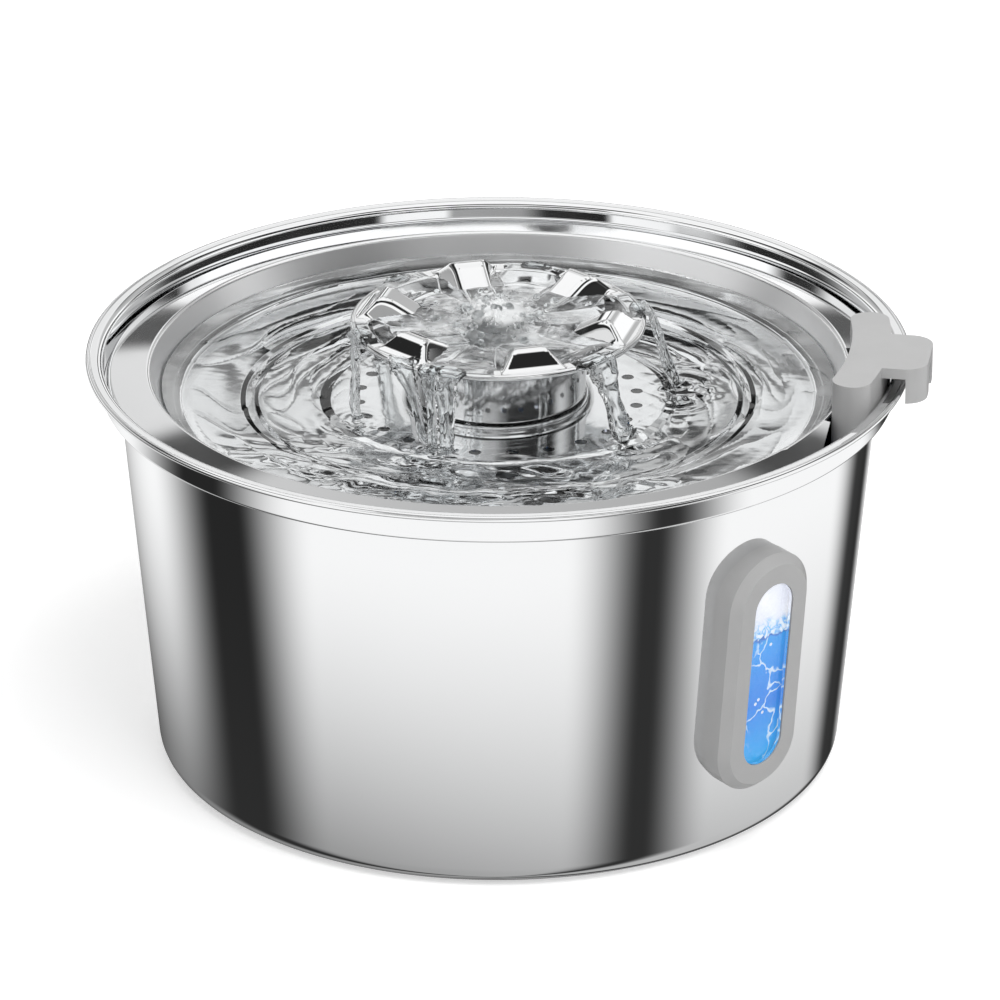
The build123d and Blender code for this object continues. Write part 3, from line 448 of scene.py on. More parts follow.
def water(net, air=0.0, froth=0.0):
    """Clear water, which bubbles may whiten.

    air is how white it is in the flower, where it is whitest over the well on the axis. froth is
    how white it is where the pool laps at the tray's wall: partly froth, and partly painted light
    standing in for the shimmer of light there.
    """
    clear = 1.0
    radius = net.from_axis(net.place) if air or froth else None
    # Painted light: this whitening at the wall is partly froth and partly a stand-in for shimmering
    # light.
    if froth:
        white = net.spread(net.grain(60.0), 0.3, 0.7, 0.5 * froth, froth)
        wall = net.spread(radius, 85.5 * MM, TRAY_FOOT_RADIUS * MM)
        clear = net.maths("SUBTRACT", 1.0, net.maths("MULTIPLY", white, wall))
    if air:
        white = net.spread(net.grain(90.0), 0.40, 0.75, 0.0, air)
        well = net.spread(radius, 5.5 * MM, 11.0 * MM, 0.75, 0.0)
        clear = net.maths("SUBTRACT", 1.0, net.maths("MAXIMUM", white, well))
    return {
        "Base Color": net.mix(net.grain(40.0), tinted(WATER_TINT, 0.97), WATER_TINT),
        "Roughness": 0.0,
        "Transmission Weight": clear,
        "IOR": WATER_IOR,
    }


# Each slot: its look, its name, then what else that look takes.
SLOTS = (
    (steel, "bowl_steel", 0.04),
    (steel, "tray_steel", 0.05, (93.2, 97.6, 0.34)),
    (steel, "spout_steel", 0.04, (-5.0, 27.5, 0.10)),
    (finish, "clip_plastic", (0.49, 0.49, 0.49), 0.40),
    (finish, "frame_plastic", (0.45, 0.45, 0.45), 0.40),
    (finish, "seal_rubber", (0.55, 0.55, 0.54), 0.6, 0.1),
    (finish, "screw_steel", (0.55, 0.55, 0.56), 0.3, 0.15, 400, 1.0),
    (finish, "inner_plastic", (0.75, 0.76, 0.77), 0.38, 0.04),
    (finish, "riser_plastic", (0.62, 0.64, 0.66), 0.32, 0.05),
    (finish, "pump_plastic", (0.08, 0.085, 0.09), 0.42, 0.2),
    (finish, "pump_rubber", (0.03, 0.03, 0.032), 0.68, 0.25),
    (finish, "core_steel", (0.35, 0.34, 0.33), 0.45, 0.2, 300, 0.9),
    (finish, "copper", (0.80, 0.38, 0.18), 0.35, 0.15, 600, 1.0),
    (finish, "board_green", (0.03, 0.22, 0.09), 0.5, 0.25, 250),
    (finish, "potting_resin", (0.04, 0.04, 0.045), 0.25, 0.3),
    (finish, "ceramic", (0.86, 0.85, 0.80), 0.22, 0.04),
    (finish, "magnet", (0.10, 0.10, 0.105), 0.5, 0.2, 55.0, 0.6),
    (clear_plastic, "lamp_clear", (0.80, 0.90, 0.98)),
    (finish, "filter_white", (0.82, 0.83, 0.83), 0.4, 0.03),
    (granules, "resin_beads", (0.55, 0.33, 0.10), (0.85, 0.62, 0.28), 900, 0.5 * MM, 0.35),
    (granules, "carbon", (0.01, 0.01, 0.01), (0.06, 0.06, 0.065), 600, 0.7 * MM, 0.55),
    (fibres, "cotton", (0.72, 0.71, 0.68), (0.93, 0.92, 0.90), 500, 0.4 * MM),
    (fibres, "foam", (0.10, 0.11, 0.12), (0.30, 0.32, 0.34), 900, 0.5 * MM),
    (clear_plastic, "window_clear", (0.95, 0.97, 1.0)),
)
finishes = {name: dress(name, look, *rest) for look, name, *rest in SLOTS}

slot_of = {s["node"]: s["material_slot"] for s in frame["record"]["subparts"]}
for name, node in nodes.items():
    node.data.materials.clear()
    node.data.materials.append(finishes[slot_of[name]])


# ---- mesh helpers
BEND_STEPS = 8
BEAD_SIDES = 14


def unit(vector):
    return vector / np.linalg.norm(vector)


def ring_turns(count):
    """Angles round a circle, in radians."""
    return np.arange(count) * 2 * math.pi / count


def rounded(points, radii, longest):
    """Rounds a path's corners: rows of radius, height and the unit normal to the right of travel.

    longest gives each straight's longest step.
    """
    points = [np.array(p, float) for p in points]
    rows = []
    here = points[0]
    for i in range(1, len(points)):
        inward = unit(points[i] - points[i - 1])
        normal = np.array((inward[1], -inward[0]))
        end, bend = points[i], 0.0
        if i < len(points) - 1:
            outward = unit(points[i + 1] - points[i])
            bend = math.atan2(inward[0] * outward[1] - inward[1] * outward[0], inward @ outward)
            inset = radii[i - 1] * math.tan(abs(bend) / 2)
            end = points[i] - inward * inset
        count = max(1, math.ceil(np.linalg.norm(end - here) / longest[i - 1]))
        for k in range(count):
            rows.append((*(here + (end - here) * k / count), *normal))
        here = end
        if bend:
            side = math.copysign(1.0, bend)
            centre = end - side * normal * radii[i - 1]
            for k in range(BEND_STEPS):
                c, s = math.cos(bend * k / BEND_STEPS), math.sin(bend * k / BEND_STEPS)
                bent = np.array((c * normal[0] - s * normal[1], s * normal[0] + c * normal[1]))
                rows.append((*(centre + side * bent * radii[i - 1]), *bent))
            here = points[i] + outward * inset
    rows.append((*here, *normal))
    return np.array(rows)


def polar(radius, angles):
    return radius * np.cos(angles), radius * np.sin(angles)


def turned(rows, angles):
    """Turns rows of radius, height and normal round the axis: points and normals on a grid."""
    if rows.ndim == 2:
        rows = np.repeat(rows[:, None, :], len(angles), axis=1)
    return [np.stack((*polar(rows[..., k], angles), rows[..., k + 1]), -1) for k in (0, 2)]


def grid_faces(rows, columns, keep=None):
    """Quads of a grid whose columns run round; their normal is to the right of the rows' travel."""
    i, j = np.meshgrid(np.arange(rows - 1), np.arange(columns), indexing="ij")
    one, two = i * columns + j, i * columns + (j + 1) % columns
    faces = np.stack((one, two, two + columns, one + columns), -1)
    return (faces[keep] if keep is not None else faces.reshape(-1, 4)).tolist()


def free_edges(faces):
    """Edges with a face on one side only."""
    seen = set()
    for face in faces:
        seen.update(zip(face, face[1:] + face[:1]))
    return [(a, b) for a, b in seen if (b, a) not in seen]


def thick(places, normals, faces, thickness):
    """Gives a sheet its other side and the walls along its free edges.

    thickness is one number or one for each point. Gives points, faces and corner normals.
    """
    places, normals = places.reshape(-1, 3), normals.reshape(-1, 3)
    count = len(places)
    other = places - normals * np.reshape(thickness, (-1, 1))
    points = np.concatenate((places, other))
    walls = [[b, a, a + count, b + count] for a, b in sorted(free_edges(faces))]
    back = [[i + count for i in reversed(face)] for face in faces]
    corners = [normals[i] for face in faces for i in face]
    corners += [-normals[i - count] for face in back for i in face]
    for wall in walls:
        across = np.cross(points[wall[2]] - points[wall[0]], points[wall[3]] - points[wall[1]])
        corners += [across / max(np.linalg.norm(across), 1e-12)] * 4
    return points, faces + back + walls, corners


def bead(radius, height, columns):
    """A rolled edge, as a closed ring."""
    c, s = polar(1.0, ring_turns(BEAD_SIDES))
    rows = np.stack((radius + BEAD * c, height + BEAD * s, c, s), -1)
    places, normals = turned(np.concatenate((rows, rows[:1])), ring_turns(columns))
    count = BEAD_SIDES * columns
    faces = [[i % count for i in face] for face in grid_faces(BEAD_SIDES + 1, columns)]
    normals = normals.reshape(-1, 3)
    return places.reshape(-1, 3)[:count], faces, [normals[i] for face in faces for i in face]


def together(*parts):
    """Puts (points, faces, corner normals) parts into one."""
    points, faces, corners = [], [], []
    start = 0
    for places, part_faces, part_corners in parts:
        points.append(places)
        faces += [[i + start for i in face] for face in part_faces]
        corners += list(part_corners)
        start += len(places)
    return np.concatenate(points), faces, corners


def make_piece(name, points, faces, corners=None):
    """A mesh object from points in millimetres; unused points are left out."""
    used = np.zeros(len(points), bool)
    for face in faces:
        used[face] = True
    new = np.cumsum(used) - 1
    faces = [[int(new[i]) for i in face] for face in faces]
    mesh = bpy.data.meshes.new(name)
    mesh.from_pydata((points[used] * MM).tolist(), [], faces)
    mesh.shade_smooth()
    if corners is not None:
        mesh.normals_split_custom_set([tuple(map(float, c)) for c in corners])
    return new_object(name, mesh)


def place_piece(piece, body, material):
    piece.data.materials.clear()
    piece.data.materials.append(material)
    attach(piece, body)


def stand_in(piece, body, slot, node):
    """Gives a piece its body and its slot's material, and hides the node that it stands for."""
    place_piece(piece, body, finishes[slot])
    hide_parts(node)


NOISE_GAIN = 1.8  # brings lattice noise to about -1 to 1


def lattice_noise(x, y, z, seed):
    """Smooth noise between about -1 and 1 over arrays of places, one bump a unit."""
    rng = np.random.default_rng(seed)
    table = rng.permutation(256)
    pulls = rng.normal(size=(256, 3))
    pulls /= np.linalg.norm(pulls, axis=1)[:, None]
    x, y, z = np.broadcast_arrays(x, y, z)
    low = [np.floor(v).astype(int) for v in (x, y, z)]
    part = [v - f for v, f in zip((x, y, z), low)]
    ease = [f * f * f * (f * (6 * f - 15) + 10) for f in part]
    total = np.zeros(x.shape)
    for corner in itertools.product((0, 1), repeat=3):
        place, value, weight = 0, 0.0, 1.0
        for axis in (2, 1, 0):
            place = table[(place + low[axis] + corner[axis]) & 255]
        for axis, step in enumerate(corner):
            value = value + pulls[place, axis] * (part[axis] - step)
            weight = weight * (ease[axis] if step else 1 - ease[axis])
        total += value * weight
    return total * NOISE_GAIN


def smooth_min(a, b, blend):
    share = np.clip(0.5 + 0.5 * (b - a) / blend, 0, 1)
    return b + (a - b) * share - blend * share * (1 - share)


# ---- bowl
BOWL_COLUMNS = 480
POLE = 4.0  # radius of the flat disc that closes the base
CUT_MARGIN = 1.0  # the wall ends this far outside the window's cut, under the frame
CUT_REACH = -20.0  # the cut doesn't go through to the wall opposite

wall_tilt = math.atan2(WALL_TOP_RADIUS - BASE_RADIUS, STEP)
window_turn = math.radians(WINDOW_AZIMUTH)
window_radius = BASE_RADIUS + (WALL_TOP_RADIUS - BASE_RADIUS) * WINDOW_HEIGHT / STEP
window_way = (math.cos(window_turn), math.sin(window_turn))
window_centre = np.array([window_radius * v for v in window_way] + [WINDOW_HEIGHT])
window_across = np.array((-window_way[1], window_way[0], 0.0))
window_out = np.array([math.cos(wall_tilt) * v for v in window_way] + [-math.sin(wall_tilt)])
window_up = np.cross(window_out, window_across)


def slot_distance(u, v, width, length):
    """Distance outwards from an upright racetrack's edge."""
    v = np.maximum(abs(v) - (length - width) / 2, 0)
    return np.hypot(u, v) - width / 2


def make_bowl():
    path = (
        (POLE, 0), (BASE_RADIUS, 0), (WALL_TOP_RADIUS, STEP), (COLLAR_RADIUS, STEP),
        (COLLAR_RADIUS, LIP_UNDER), (LIP_BEAD_RADIUS, LIP_UNDER),
    )
    bends = (BASE_CORNER, STEP_BEND, STEP_BEND, LIP_BEND)
    rows = rounded(path, bends, (22.0, 2.0, 2.0, 3.0, 2.0))
    places, normals = turned(rows, ring_turns(BOWL_COLUMNS))
    middle = (places[:-1] + places[1:]) / 2
    middle = (middle + np.roll(middle, -1, axis=1)) / 2 - window_centre
    away = slot_distance(middle @ window_across, middle @ window_up, *WALL_CUT)
    keep = (away > CUT_MARGIN) | (middle @ window_out < CUT_REACH)
    faces = grid_faces(len(rows), BOWL_COLUMNS, keep)
    faces.append(list(range(BOWL_COLUMNS))[::-1])
    wall = thick(places, normals, faces, SHEET)
    edge = bead(LIP_BEAD_RADIUS, LIP_BEAD_HEIGHT, BOWL_COLUMNS)
    return make_piece("bowl_shell", *together(wall, edge))


# ---- tray
TRAY_COLUMNS = 480
THUMB_CUT_ANGLE = 28.2
TRAY_HOLE_SIDES = 96
DRAIN_SIDES = 20
TINY = 0.01


def cut_short(rows, radius):
    """Redraws the rows outside the notch's radius, so that they end at a smaller radius."""
    outer = rows[:, 0] >= NOTCH_RADIUS - 1e-6
    count = int(outer.sum())
    run = np.concatenate(((0,), np.cumsum(np.hypot(*np.diff(rows[:count, :2], axis=0).T))))
    end = np.interp(-radius, -rows[:count, 0], run)
    places = np.linspace(end, run[-1], count)
    short = rows.copy()
    for k in range(4):
        short[:count, k] = np.interp(places, run, rows[:count, k])
    return short


def tray_rows():
    half, narrow, groove = RING_WIDTH / 2, RING_WIDTH / 5, TRAY_FLOOR - RING_DEPTH
    path = (
        (FLANGE_RADIUS, FLANGE_FOOT), (FLANGE_RADIUS, FLANGE_EDGE), (TRAY_RIM_RADIUS, TRAY_RIM),
        (TRAY_FOOT_RADIUS, TRAY_FLOOR), (RING_RADIUS + half, TRAY_FLOOR),
        (RING_RADIUS + narrow, groove), (RING_RADIUS - narrow, groove),
        (RING_RADIUS - half, TRAY_FLOOR), (PLATEAU_RADIUS + PLATEAU_SLOPE, TRAY_FLOOR),
        (PLATEAU_RADIUS, PLATEAU), (PLATEAU_RADIUS - 2.0, PLATEAU),
    )
    bends = (1.4, 1.4, 4.0, 0.5, 0.5, 0.5, 0.5, 1.0, 1.0)
    rows = rounded(path, bends, (2.0, 2.0, 2.0, 5.0, 1.0, 1.0, 1.0, 5.0, 1.0, 2.0))
    k = int(np.argmax(rows[:, 0] < NOTCH_RADIUS))
    share = (rows[k - 1, 0] - NOTCH_RADIUS) / (rows[k - 1, 0] - rows[k, 0])
    between = rows[k - 1] + (rows[k] - rows[k - 1]) * share
    return np.insert(rows, k, between, axis=0), k


def plateau_faces(edge, first):
    """Flat triangles between the plateau's edge and its holes.

    edge holds the edge's points, which are numbered from first. Gives new points and faces.
    """
    points = [Vector(p[:2]) for p in edge]
    rings = [range(len(edge))]
    holes = [(0.0, 0.0, TRAY_HOLE_RADIUS, TRAY_HOLE_SIDES)]
    for turn in ring_turns(DRAINS):
        x, y = DRAIN_CIRCLE * math.cos(turn), DRAIN_CIRCLE * math.sin(turn)
        holes.append((x, y, DRAIN_RADIUS, DRAIN_SIDES))
    for x, y, radius, sides in holes:
        start = len(points)
        for turn in ring_turns(sides):
            points.append(Vector((x + radius * math.cos(turn), y + radius * math.sin(turn))))
        rings.append(range(start, start + sides))
    lines = [(a, b) for ring in rings for a, b in zip(ring, [*ring[1:], ring[0]])]
    flat, _, triangles, sources, _, _ = delaunay_2d_cdt(points, lines, [], 0, 1e-5)
    number = [first + source[0] if source[0] < len(edge) else None for source in sources]
    new = []
    for i, place in enumerate(flat):
        if number[i] is None:
            number[i] = first + len(edge) + len(new)
            new.append((place.x, place.y, PLATEAU))
    faces = []
    reach = math.hypot(*edge[0][:2]) - TINY
    for a, b, c in triangles:
        middle = (flat[a] + flat[b] + flat[c]) / 3
        inside = any(math.dist(middle, (x, y)) < radius - TINY for x, y, radius, _ in holes)
        if not inside and middle.length < reach:
            up = (flat[b] - flat[a]).cross(flat[c] - flat[a]) > 0
            faces.append([number[i] for i in ((a, b, c) if up else (a, c, b))])
    return np.array(new), faces


def signed_degrees(angles):
    return np.degrees((angles + math.pi) % (2 * math.pi) - math.pi)


def make_tray():
    rows, notch_row = tray_rows()
    angles = ring_turns(TRAY_COLUMNS)
    for edge in (NOTCH_HALF_ANGLE, -NOTCH_HALF_ANGLE, -THUMB_CUT_ANGLE):
        edge = math.radians(edge) % (2 * math.pi)
        angles[np.argmin(abs(angles - edge))] = edge
    signed = signed_degrees(angles)
    grid = np.repeat(rows[:, None, :], TRAY_COLUMNS, axis=1)
    for j in np.flatnonzero((signed > -THUMB_CUT_ANGLE) & (signed < -NOTCH_HALF_ANGLE + TINY)):
        grid[:, j] = cut_short(rows, THUMB_CUT_FACE / math.cos(math.radians(signed[j])))
    places, normals = turned(grid, angles)
    in_notch = abs(signed_degrees((angles + np.roll(angles, -1)) / 2)) < NOTCH_HALF_ANGLE
    keep = ~((np.arange(len(rows) - 1) < notch_row)[:, None] & in_notch[None, :])
    faces = grid_faces(len(rows), TRAY_COLUMNS, keep)
    new, flat_faces = plateau_faces(places[-1], (len(rows) - 1) * TRAY_COLUMNS)
    points = np.concatenate((places.reshape(-1, 3), new))
    ups = np.tile((0.0, 0.0, 1.0), (len(new), 1))
    normals = np.concatenate((normals.reshape(-1, 3), ups))
    return make_piece("tray_shell", *thick(points, normals, faces + flat_faces, SHEET))


# ---- flower spout
FLOWER_COLUMNS = 540
NECK_COLUMNS = 240
# How far a petal's faces blend into each other and into the dish.
PETAL_RIDGE_BLEND = 1.8
PETAL_TOP_BLEND = 1.3
PETAL_SIDE_BLEND = 2.2
PETAL_FOOT_BLEND = 1.1
PETAL_TOP_CAP = 0.1  # the flat top's height over the crest, before the blend takes it down
PETAL_SEARCH = (-0.6, 1.4)
PETAL_HALVINGS = 22
flower_path = (
    (DISH_RADIUS - BEAD, DISH_RIM - LIP_SINK), (DISH_RADIUS - DISH_LIP, DISH_RIM - LIP_SINK),
    (DISH_FLOOR_RADIUS, DISH_FLOOR), (DISH_HOLE_RADIUS, DISH_FLOOR),
)
flower_rows = rounded(flower_path, (2.0, 4.0), (0.45, 0.45, 0.45))


def petal_height(out, side):
    """Top of a petal at a distance out from the axis and to one side of its middle line."""
    rise = PETAL_CREST - PETAL_FOOT
    outer_face = PETAL_CREST - (out - PETAL_OUTER[1]) * rise / (PETAL_OUTER[0] - PETAL_OUTER[1])
    inner_face = PETAL_CREST + (out - PETAL_INNER[1]) * rise / (PETAL_INNER[1] - PETAL_INNER[0])
    # The height of the petal's side, as a share of its rise, is found by halving.
    low, high = (np.full(out.shape, share) for share in PETAL_SEARCH)
    for _ in range(PETAL_HALVINGS):
        share = (low + high) / 2
        ends = (PETAL_INNER, PETAL_OUTER, PETAL_INNER_HALF, PETAL_OUTER_HALF)
        inner, outer, inner_half, outer_half = (a + (b - a) * share for a, b in ends)
        half = inner_half + (outer_half - inner_half) * (out - inner) / (outer - inner)
        wide = half > abs(side)
        low, high = np.where(wide, share, low), np.where(wide, high, share)
    side_face = PETAL_FOOT + rise * (low + high) / 2
    top = smooth_min(outer_face, inner_face, PETAL_RIDGE_BLEND)
    top = smooth_min(top, PETAL_CREST + PETAL_TOP_CAP, PETAL_TOP_BLEND)
    return smooth_min(top, side_face, PETAL_SIDE_BLEND)


def flower_height(x, y):
    radius = np.hypot(x, y)
    dish = np.interp(radius, flower_rows[::-1, 0], flower_rows[::-1, 1])
    pitch = 2 * math.pi / PETALS
    turn = (np.arctan2(y, x) - math.radians(PETAL_AZIMUTH) + pitch / 2) % pitch - pitch / 2
    petal = petal_height(radius * np.cos(turn), radius * np.sin(turn))
    return -smooth_min(-dish, -petal, PETAL_FOOT_BLEND)


def slopes(height, x, y, step=0.03):
    """Unit normals of a height over the plan."""
    across = (height(x + step, y) - height(x - step, y)) / (2 * step)
    deep = (height(x, y + step) - height(x, y - step)) / (2 * step)
    normals = np.stack((-across, -deep, np.ones_like(across)), -1)
    return normals / np.linalg.norm(normals, axis=-1)[..., None]


def make_flower():
    x, y = polar(flower_rows[:, :1], ring_turns(FLOWER_COLUMNS))
    places = np.stack((x, y, flower_height(x, y)), -1)
    faces = grid_faces(len(flower_rows), FLOWER_COLUMNS)
    top = thick(places, slopes(flower_height, x, y), faces, SHEET)
    edge = bead(DISH_RADIUS - BEAD, DISH_RIM - BEAD, FLOWER_COLUMNS)
    return make_piece("flower_shell", *together(top, edge))


def make_neck():
    foot = PLATEAU + SHEET
    path = ((NECK_FOOT_RADIUS, foot), (NECK_RADIUS, foot), (NECK_RADIUS, NECK_TOP))
    rows = rounded(path, (0.4,), (2.0, 4.0))
    places, normals = turned(rows, ring_turns(NECK_COLUMNS))
    faces = grid_faces(len(rows), NECK_COLUMNS)
    return make_piece("neck_shell", *thick(places, normals, faces, SHEET))


stand_in(make_bowl(), "bowl", "bowl_steel", "bowl")
stand_in(make_tray(), "tray", "tray_steel", "tray")
stand_in(make_flower(), "spout", "spout_steel", "spout_flower")
stand_in(make_neck(), "spout", "spout_steel", "spout_neck")

# ---- water
POOL_OUTER_RADIUS = 93.9
POOL_COLUMNS = 720
POOL_ROWS = 150
WETTING = 0.3  # how far the pool reaches into the steel, so that no gap shows
DISH_LEVEL = 127.7
DISH_ROWS = 96
WELL_ROWS = 26
FILM = 0.35  # water over the flower's rolled edge
DRY_SINK = 0.2  # how far below the steel the water's mesh runs where the flower is dry
WELL_RADIUS = 6.9
WELL_FOOT = 117.3
# The pool's noises: height, bumps round the axis, length of a bump outwards, seed.
SWELL = (0.15, 1.6, 12.0, 21)
RIPPLE = (0.034, 4.0, 4.2, 22)
STREAK = (0.08, 2.2, 9.0, 23)
STREAK_SHARPNESS = 10
SWIRL = 0.010  # how far the bumps turn as they run outwards, in radians a millimetre
# The stirred water in front: height, length of a bump across and outwards, seed.
CHOP = (0.34, 12.0, 5.4, 24)
FLECKS = (0.030, 3.4, 2.0, 25)
FLECKS_ELSEWHERE = 0.15
CRESTS = ((57, 7, 0.8), (80, 5, 0.5))  # radius, width and height
SPLASH = (0.40, 1.3, 4.5)  # rings round a stream's foot: height, radians a millimetre, reach
POOL_CLIMB = 3.4  # up to the wall
MENISCUS = (0.9, 0.8)  # height and reach of the water that clings to the neck
WAVES = (1.5, 0.7)  # gain of all waves, and what the front adds
# Each stream: name, azimuth at the rim and at the foot, radius of the foot, half widths at the
# rim, halfway and at the foot, half depth, seed.
STREAMS = (
    ("stream_left", -155.0, -143.0, 43.5, (3.4, 1.9, 2.4), 1.1, 3),
    ("stream_film", -125.0, -107.0, 41.0, (3.4, 1.6, 1.0), 0.5, 9),
    ("stream_front_left", -102.0, -98.5, 46.0, (4.4, 2.1, 2.9), 1.5, 5),
    ("stream_front_left_edge", -108.5, -103.5, 45.2, (3.0, 1.3, 2.0), 1.1, 8),
    ("stream_front_right", -42.0, -33.0, 48.0, (5.0, 3.0, 3.6), 1.7, 11),
    ("stream_right", 20.0, 13.0, 50.5, (4.2, 2.2, 2.6), 1.4, 13),
    ("stream_back_right", 84.0, 85.0, 46.5, (3.8, 2.2, 3.0), 1.3, 17),
    ("stream_back_left", 144.0, 146.0, 46.0, (3.8, 2.2, 3.0), 1.3, 19),
)


def smooth_step(value, low, high):
    share = np.clip((value - low) / (high - low), 0, 1)
    return share * share * (3 - 2 * share)


def close_sheet(places, other, normals, faces):
    """Like thick, with the other side given."""
    gap = np.linalg.norm(places - other, axis=-1)
    ways = (places - other) / np.maximum(gap, 1e-9)[..., None]
    points, all_faces, corners = thick(places, ways, faces, gap)
    top = [normals.reshape(-1, 3)[i] for face in faces for i in face]
    return points, all_faces, top + corners[len(top) :]


def pool_height(x, y):
    """Top of the water in the tray."""
    radius, turn = np.hypot(x, y), np.arctan2(y, x)
    c, s = polar(1.0, turn + SWIRL * radius)

    def swirled(often, length, seed):
        return lattice_noise(often * c, often * s, radius / length, seed)

    def straight(across, outwards, seed):
        return lattice_noise(x / across, y / outwards, 0.5, seed)

    height = SWELL[0] * swirled(*SWELL[1:])
    height += RIPPLE[0] * swirled(*RIPPLE[1:]) * (1 - 0.6 * smooth_step(radius, 66, 80))
    height += STREAK[0] * (1 - abs(swirled(*STREAK[1:]))) ** STREAK_SHARPNESS
    front = smooth_step(-y - 0.55 * abs(x + 6), 12, 42)  # a wedge before the spout
    height += front * sum(h * np.exp(-(((radius - at) / w) ** 2)) for at, w, h in CRESTS)
    height += CHOP[0] * front * straight(*CHOP[1:])
    height += FLECKS[0] * straight(*FLECKS[1:]) * (FLECKS_ELSEWHERE + front)
    tall, rings, reach = SPLASH
    for _, _, foot, from_middle, _, _, seed in STREAMS:
        at = math.radians(foot)
        away = np.hypot(x - from_middle * math.cos(at), y - from_middle * math.sin(at))
        height += tall * np.cos(away * rings - 0.4 * seed) * np.exp(-away / reach)
    # The waves die down towards the neck, so that it and the drain holes stay clear.
    calm = smooth_step(radius, 30, 40) * (0.2 + 0.8 * smooth_step(radius, 42, 54))
    cling = MENISCUS[0] * np.exp(-(radius - NECK_RADIUS) / MENISCUS[1])
    climb = POOL_CLIMB * smooth_step(radius, 44, 93) + cling
    return POOL_LEVEL + climb + (WAVES[0] + WAVES[1] * front) * height * calm


def make_pool():
    rows, _ = tray_rows()
    radius = np.linspace(POOL_INNER_RADIUS, POOL_OUTER_RADIUS, POOL_ROWS)[::-1, None]
    x, y = polar(radius, ring_turns(POOL_COLUMNS))
    top = np.stack((x, y, pool_height(x, y)), -1)
    floor = np.interp(radius, rows[::-1, 0], rows[::-1, 1]) - WETTING
    bottom = np.stack((x, y, np.minimum(floor, top[..., 2] - 0.05)), -1)
    normals = slopes(pool_height, x, y, 0.1)
    faces = grid_faces(POOL_ROWS, POOL_COLUMNS)
    return make_piece("pool_water", *close_sheet(top, bottom, normals, faces))


OVERFLOW = (0.75, -0.5)  # height at the rim between the petals, and before them
SPRING = (2.6, 15)  # height and reach of the water that wells up on the axis
DISH_NOISES = ((0.60, 8.5, 31), (0.09, 3.6, 32))  # height, length of a bump, seed
BUBBLES = 60
bubble_source = np.random.default_rng(7)
bubbles = [
    (9.0 * bubble_source.normal(), 8.0 * bubble_source.normal(), bubble_source.uniform(0.8, 2.6))
    for _ in range(BUBBLES)
]


def dish_height(x, y):
    """Top of the water in the flower."""
    radius, turn = np.hypot(x, y), np.degrees(np.arctan2(y, x))
    pitch = 360 / PETALS
    to_gap = abs((turn - PETAL_AZIMUTH) % pitch - pitch / 2)
    gap = 1 - smooth_step(to_gap, 8, 17)
    near_rim = smooth_step(radius, 29, 38)
    height = DISH_LEVEL + near_rim * (OVERFLOW[0] * gap + OVERFLOW[1] * (1 - gap))
    height += SPRING[0] * np.exp(-((radius / SPRING[1]) ** 2))
    rough = 1 - 0.65 * smooth_step(radius, 26, 38)
    for tall, length, seed in DISH_NOISES:
        height += rough * tall * lattice_noise(x / length, y / length, 0.5, seed)
    for bx, by, size in bubbles:  # each is a low dome with a dimple
        away = np.hypot(x - bx, y - by)
        dome = np.sqrt(np.maximum(size * size - away * away, 0))
        height += 0.5 * dome - 0.35 * size * np.exp(-((away / (0.42 * size)) ** 2))
    # Nothing stands higher than the petals' crests.
    height = np.minimum(height, PETAL_CREST - 0.2 - 0.3 * np.exp(-radius / 6))
    over = (BEAD + FILM) ** 2 - (radius - (DISH_RADIUS - BEAD)) ** 2
    rim = DISH_RIM - BEAD + np.sqrt(np.maximum(over, 0))
    return np.where(radius > DISH_RADIUS - BEAD, np.minimum(height, rim), height)


def wet_height(x, y):
    return np.maximum(dish_height(x, y), flower_height(x, y) - DRY_SINK)


def make_dish_water():
    outer = np.linspace(DISH_RADIUS, WELL_RADIUS + 0.1, DISH_ROWS)
    radius = np.concatenate((outer, np.linspace(WELL_RADIUS, 0.25, WELL_ROWS)))[:, None]
    x, y = polar(radius, ring_turns(FLOWER_COLUMNS))
    lip = DISH_RIM - LIP_SINK - 0.1
    steel_top = np.where(radius > DISH_RADIUS - BEAD, lip, flower_height(x, y))
    top = np.maximum(dish_height(x, y), steel_top - DRY_SINK)
    bottom = np.where(radius > WELL_RADIUS + 0.05, steel_top - 0.35, WELL_FOOT)
    places, under = np.stack((x, y, top), -1), np.stack((x, y, bottom), -1)
    normals = slopes(wet_height, x, y, 0.05)
    faces = grid_faces(len(radius), FLOWER_COLUMNS)
    last = (len(radius) - 1) * FLOWER_COLUMNS
    faces.append([last + j for j in range(FLOWER_COLUMNS)])
    return make_piece("dish_water", *close_sheet(places, under, normals, faces))


DROPLETS = 34
DROPLET_SPREAD = 15.0
DROPLET_REACH = 27  # further out than this the draw is left out
DROPLET_SHAPE = (1.0, 1.0, 0.85)


def make_droplets():
    """Round bubbles and drops that the spring throws up on the flower's water."""
    source = np.random.default_rng(29)
    parts = []
    for _ in range(DROPLETS):
        radius = DROPLET_SPREAD * abs(source.normal()) ** 0.8
        turn = source.uniform(0, 2 * math.pi)
        size = source.uniform(0.7, 1.4) + 0.9 * source.random() ** 4
        x, y = radius * math.cos(turn), radius * math.sin(turn)
        if radius > DROPLET_REACH:
            continue
        level = float(dish_height(np.array(x), np.array(y)))
        height = min(level + source.uniform(-0.3, 0.7) * size, PETAL_CREST - 0.1 - size)
        bm = bmesh.new()
        bmesh.ops.create_icosphere(bm, subdivisions=3, radius=size)
        places = np.array([v.co[:] for v in bm.verts]) * DROPLET_SHAPE + (x, y, height)
        faces = [[v.index for v in f.verts] for f in bm.faces]
        bm.free()
        parts.append((places, faces, []))
    points, faces, _ = together(*parts)
    return make_piece("dish_bubbles", points, faces)


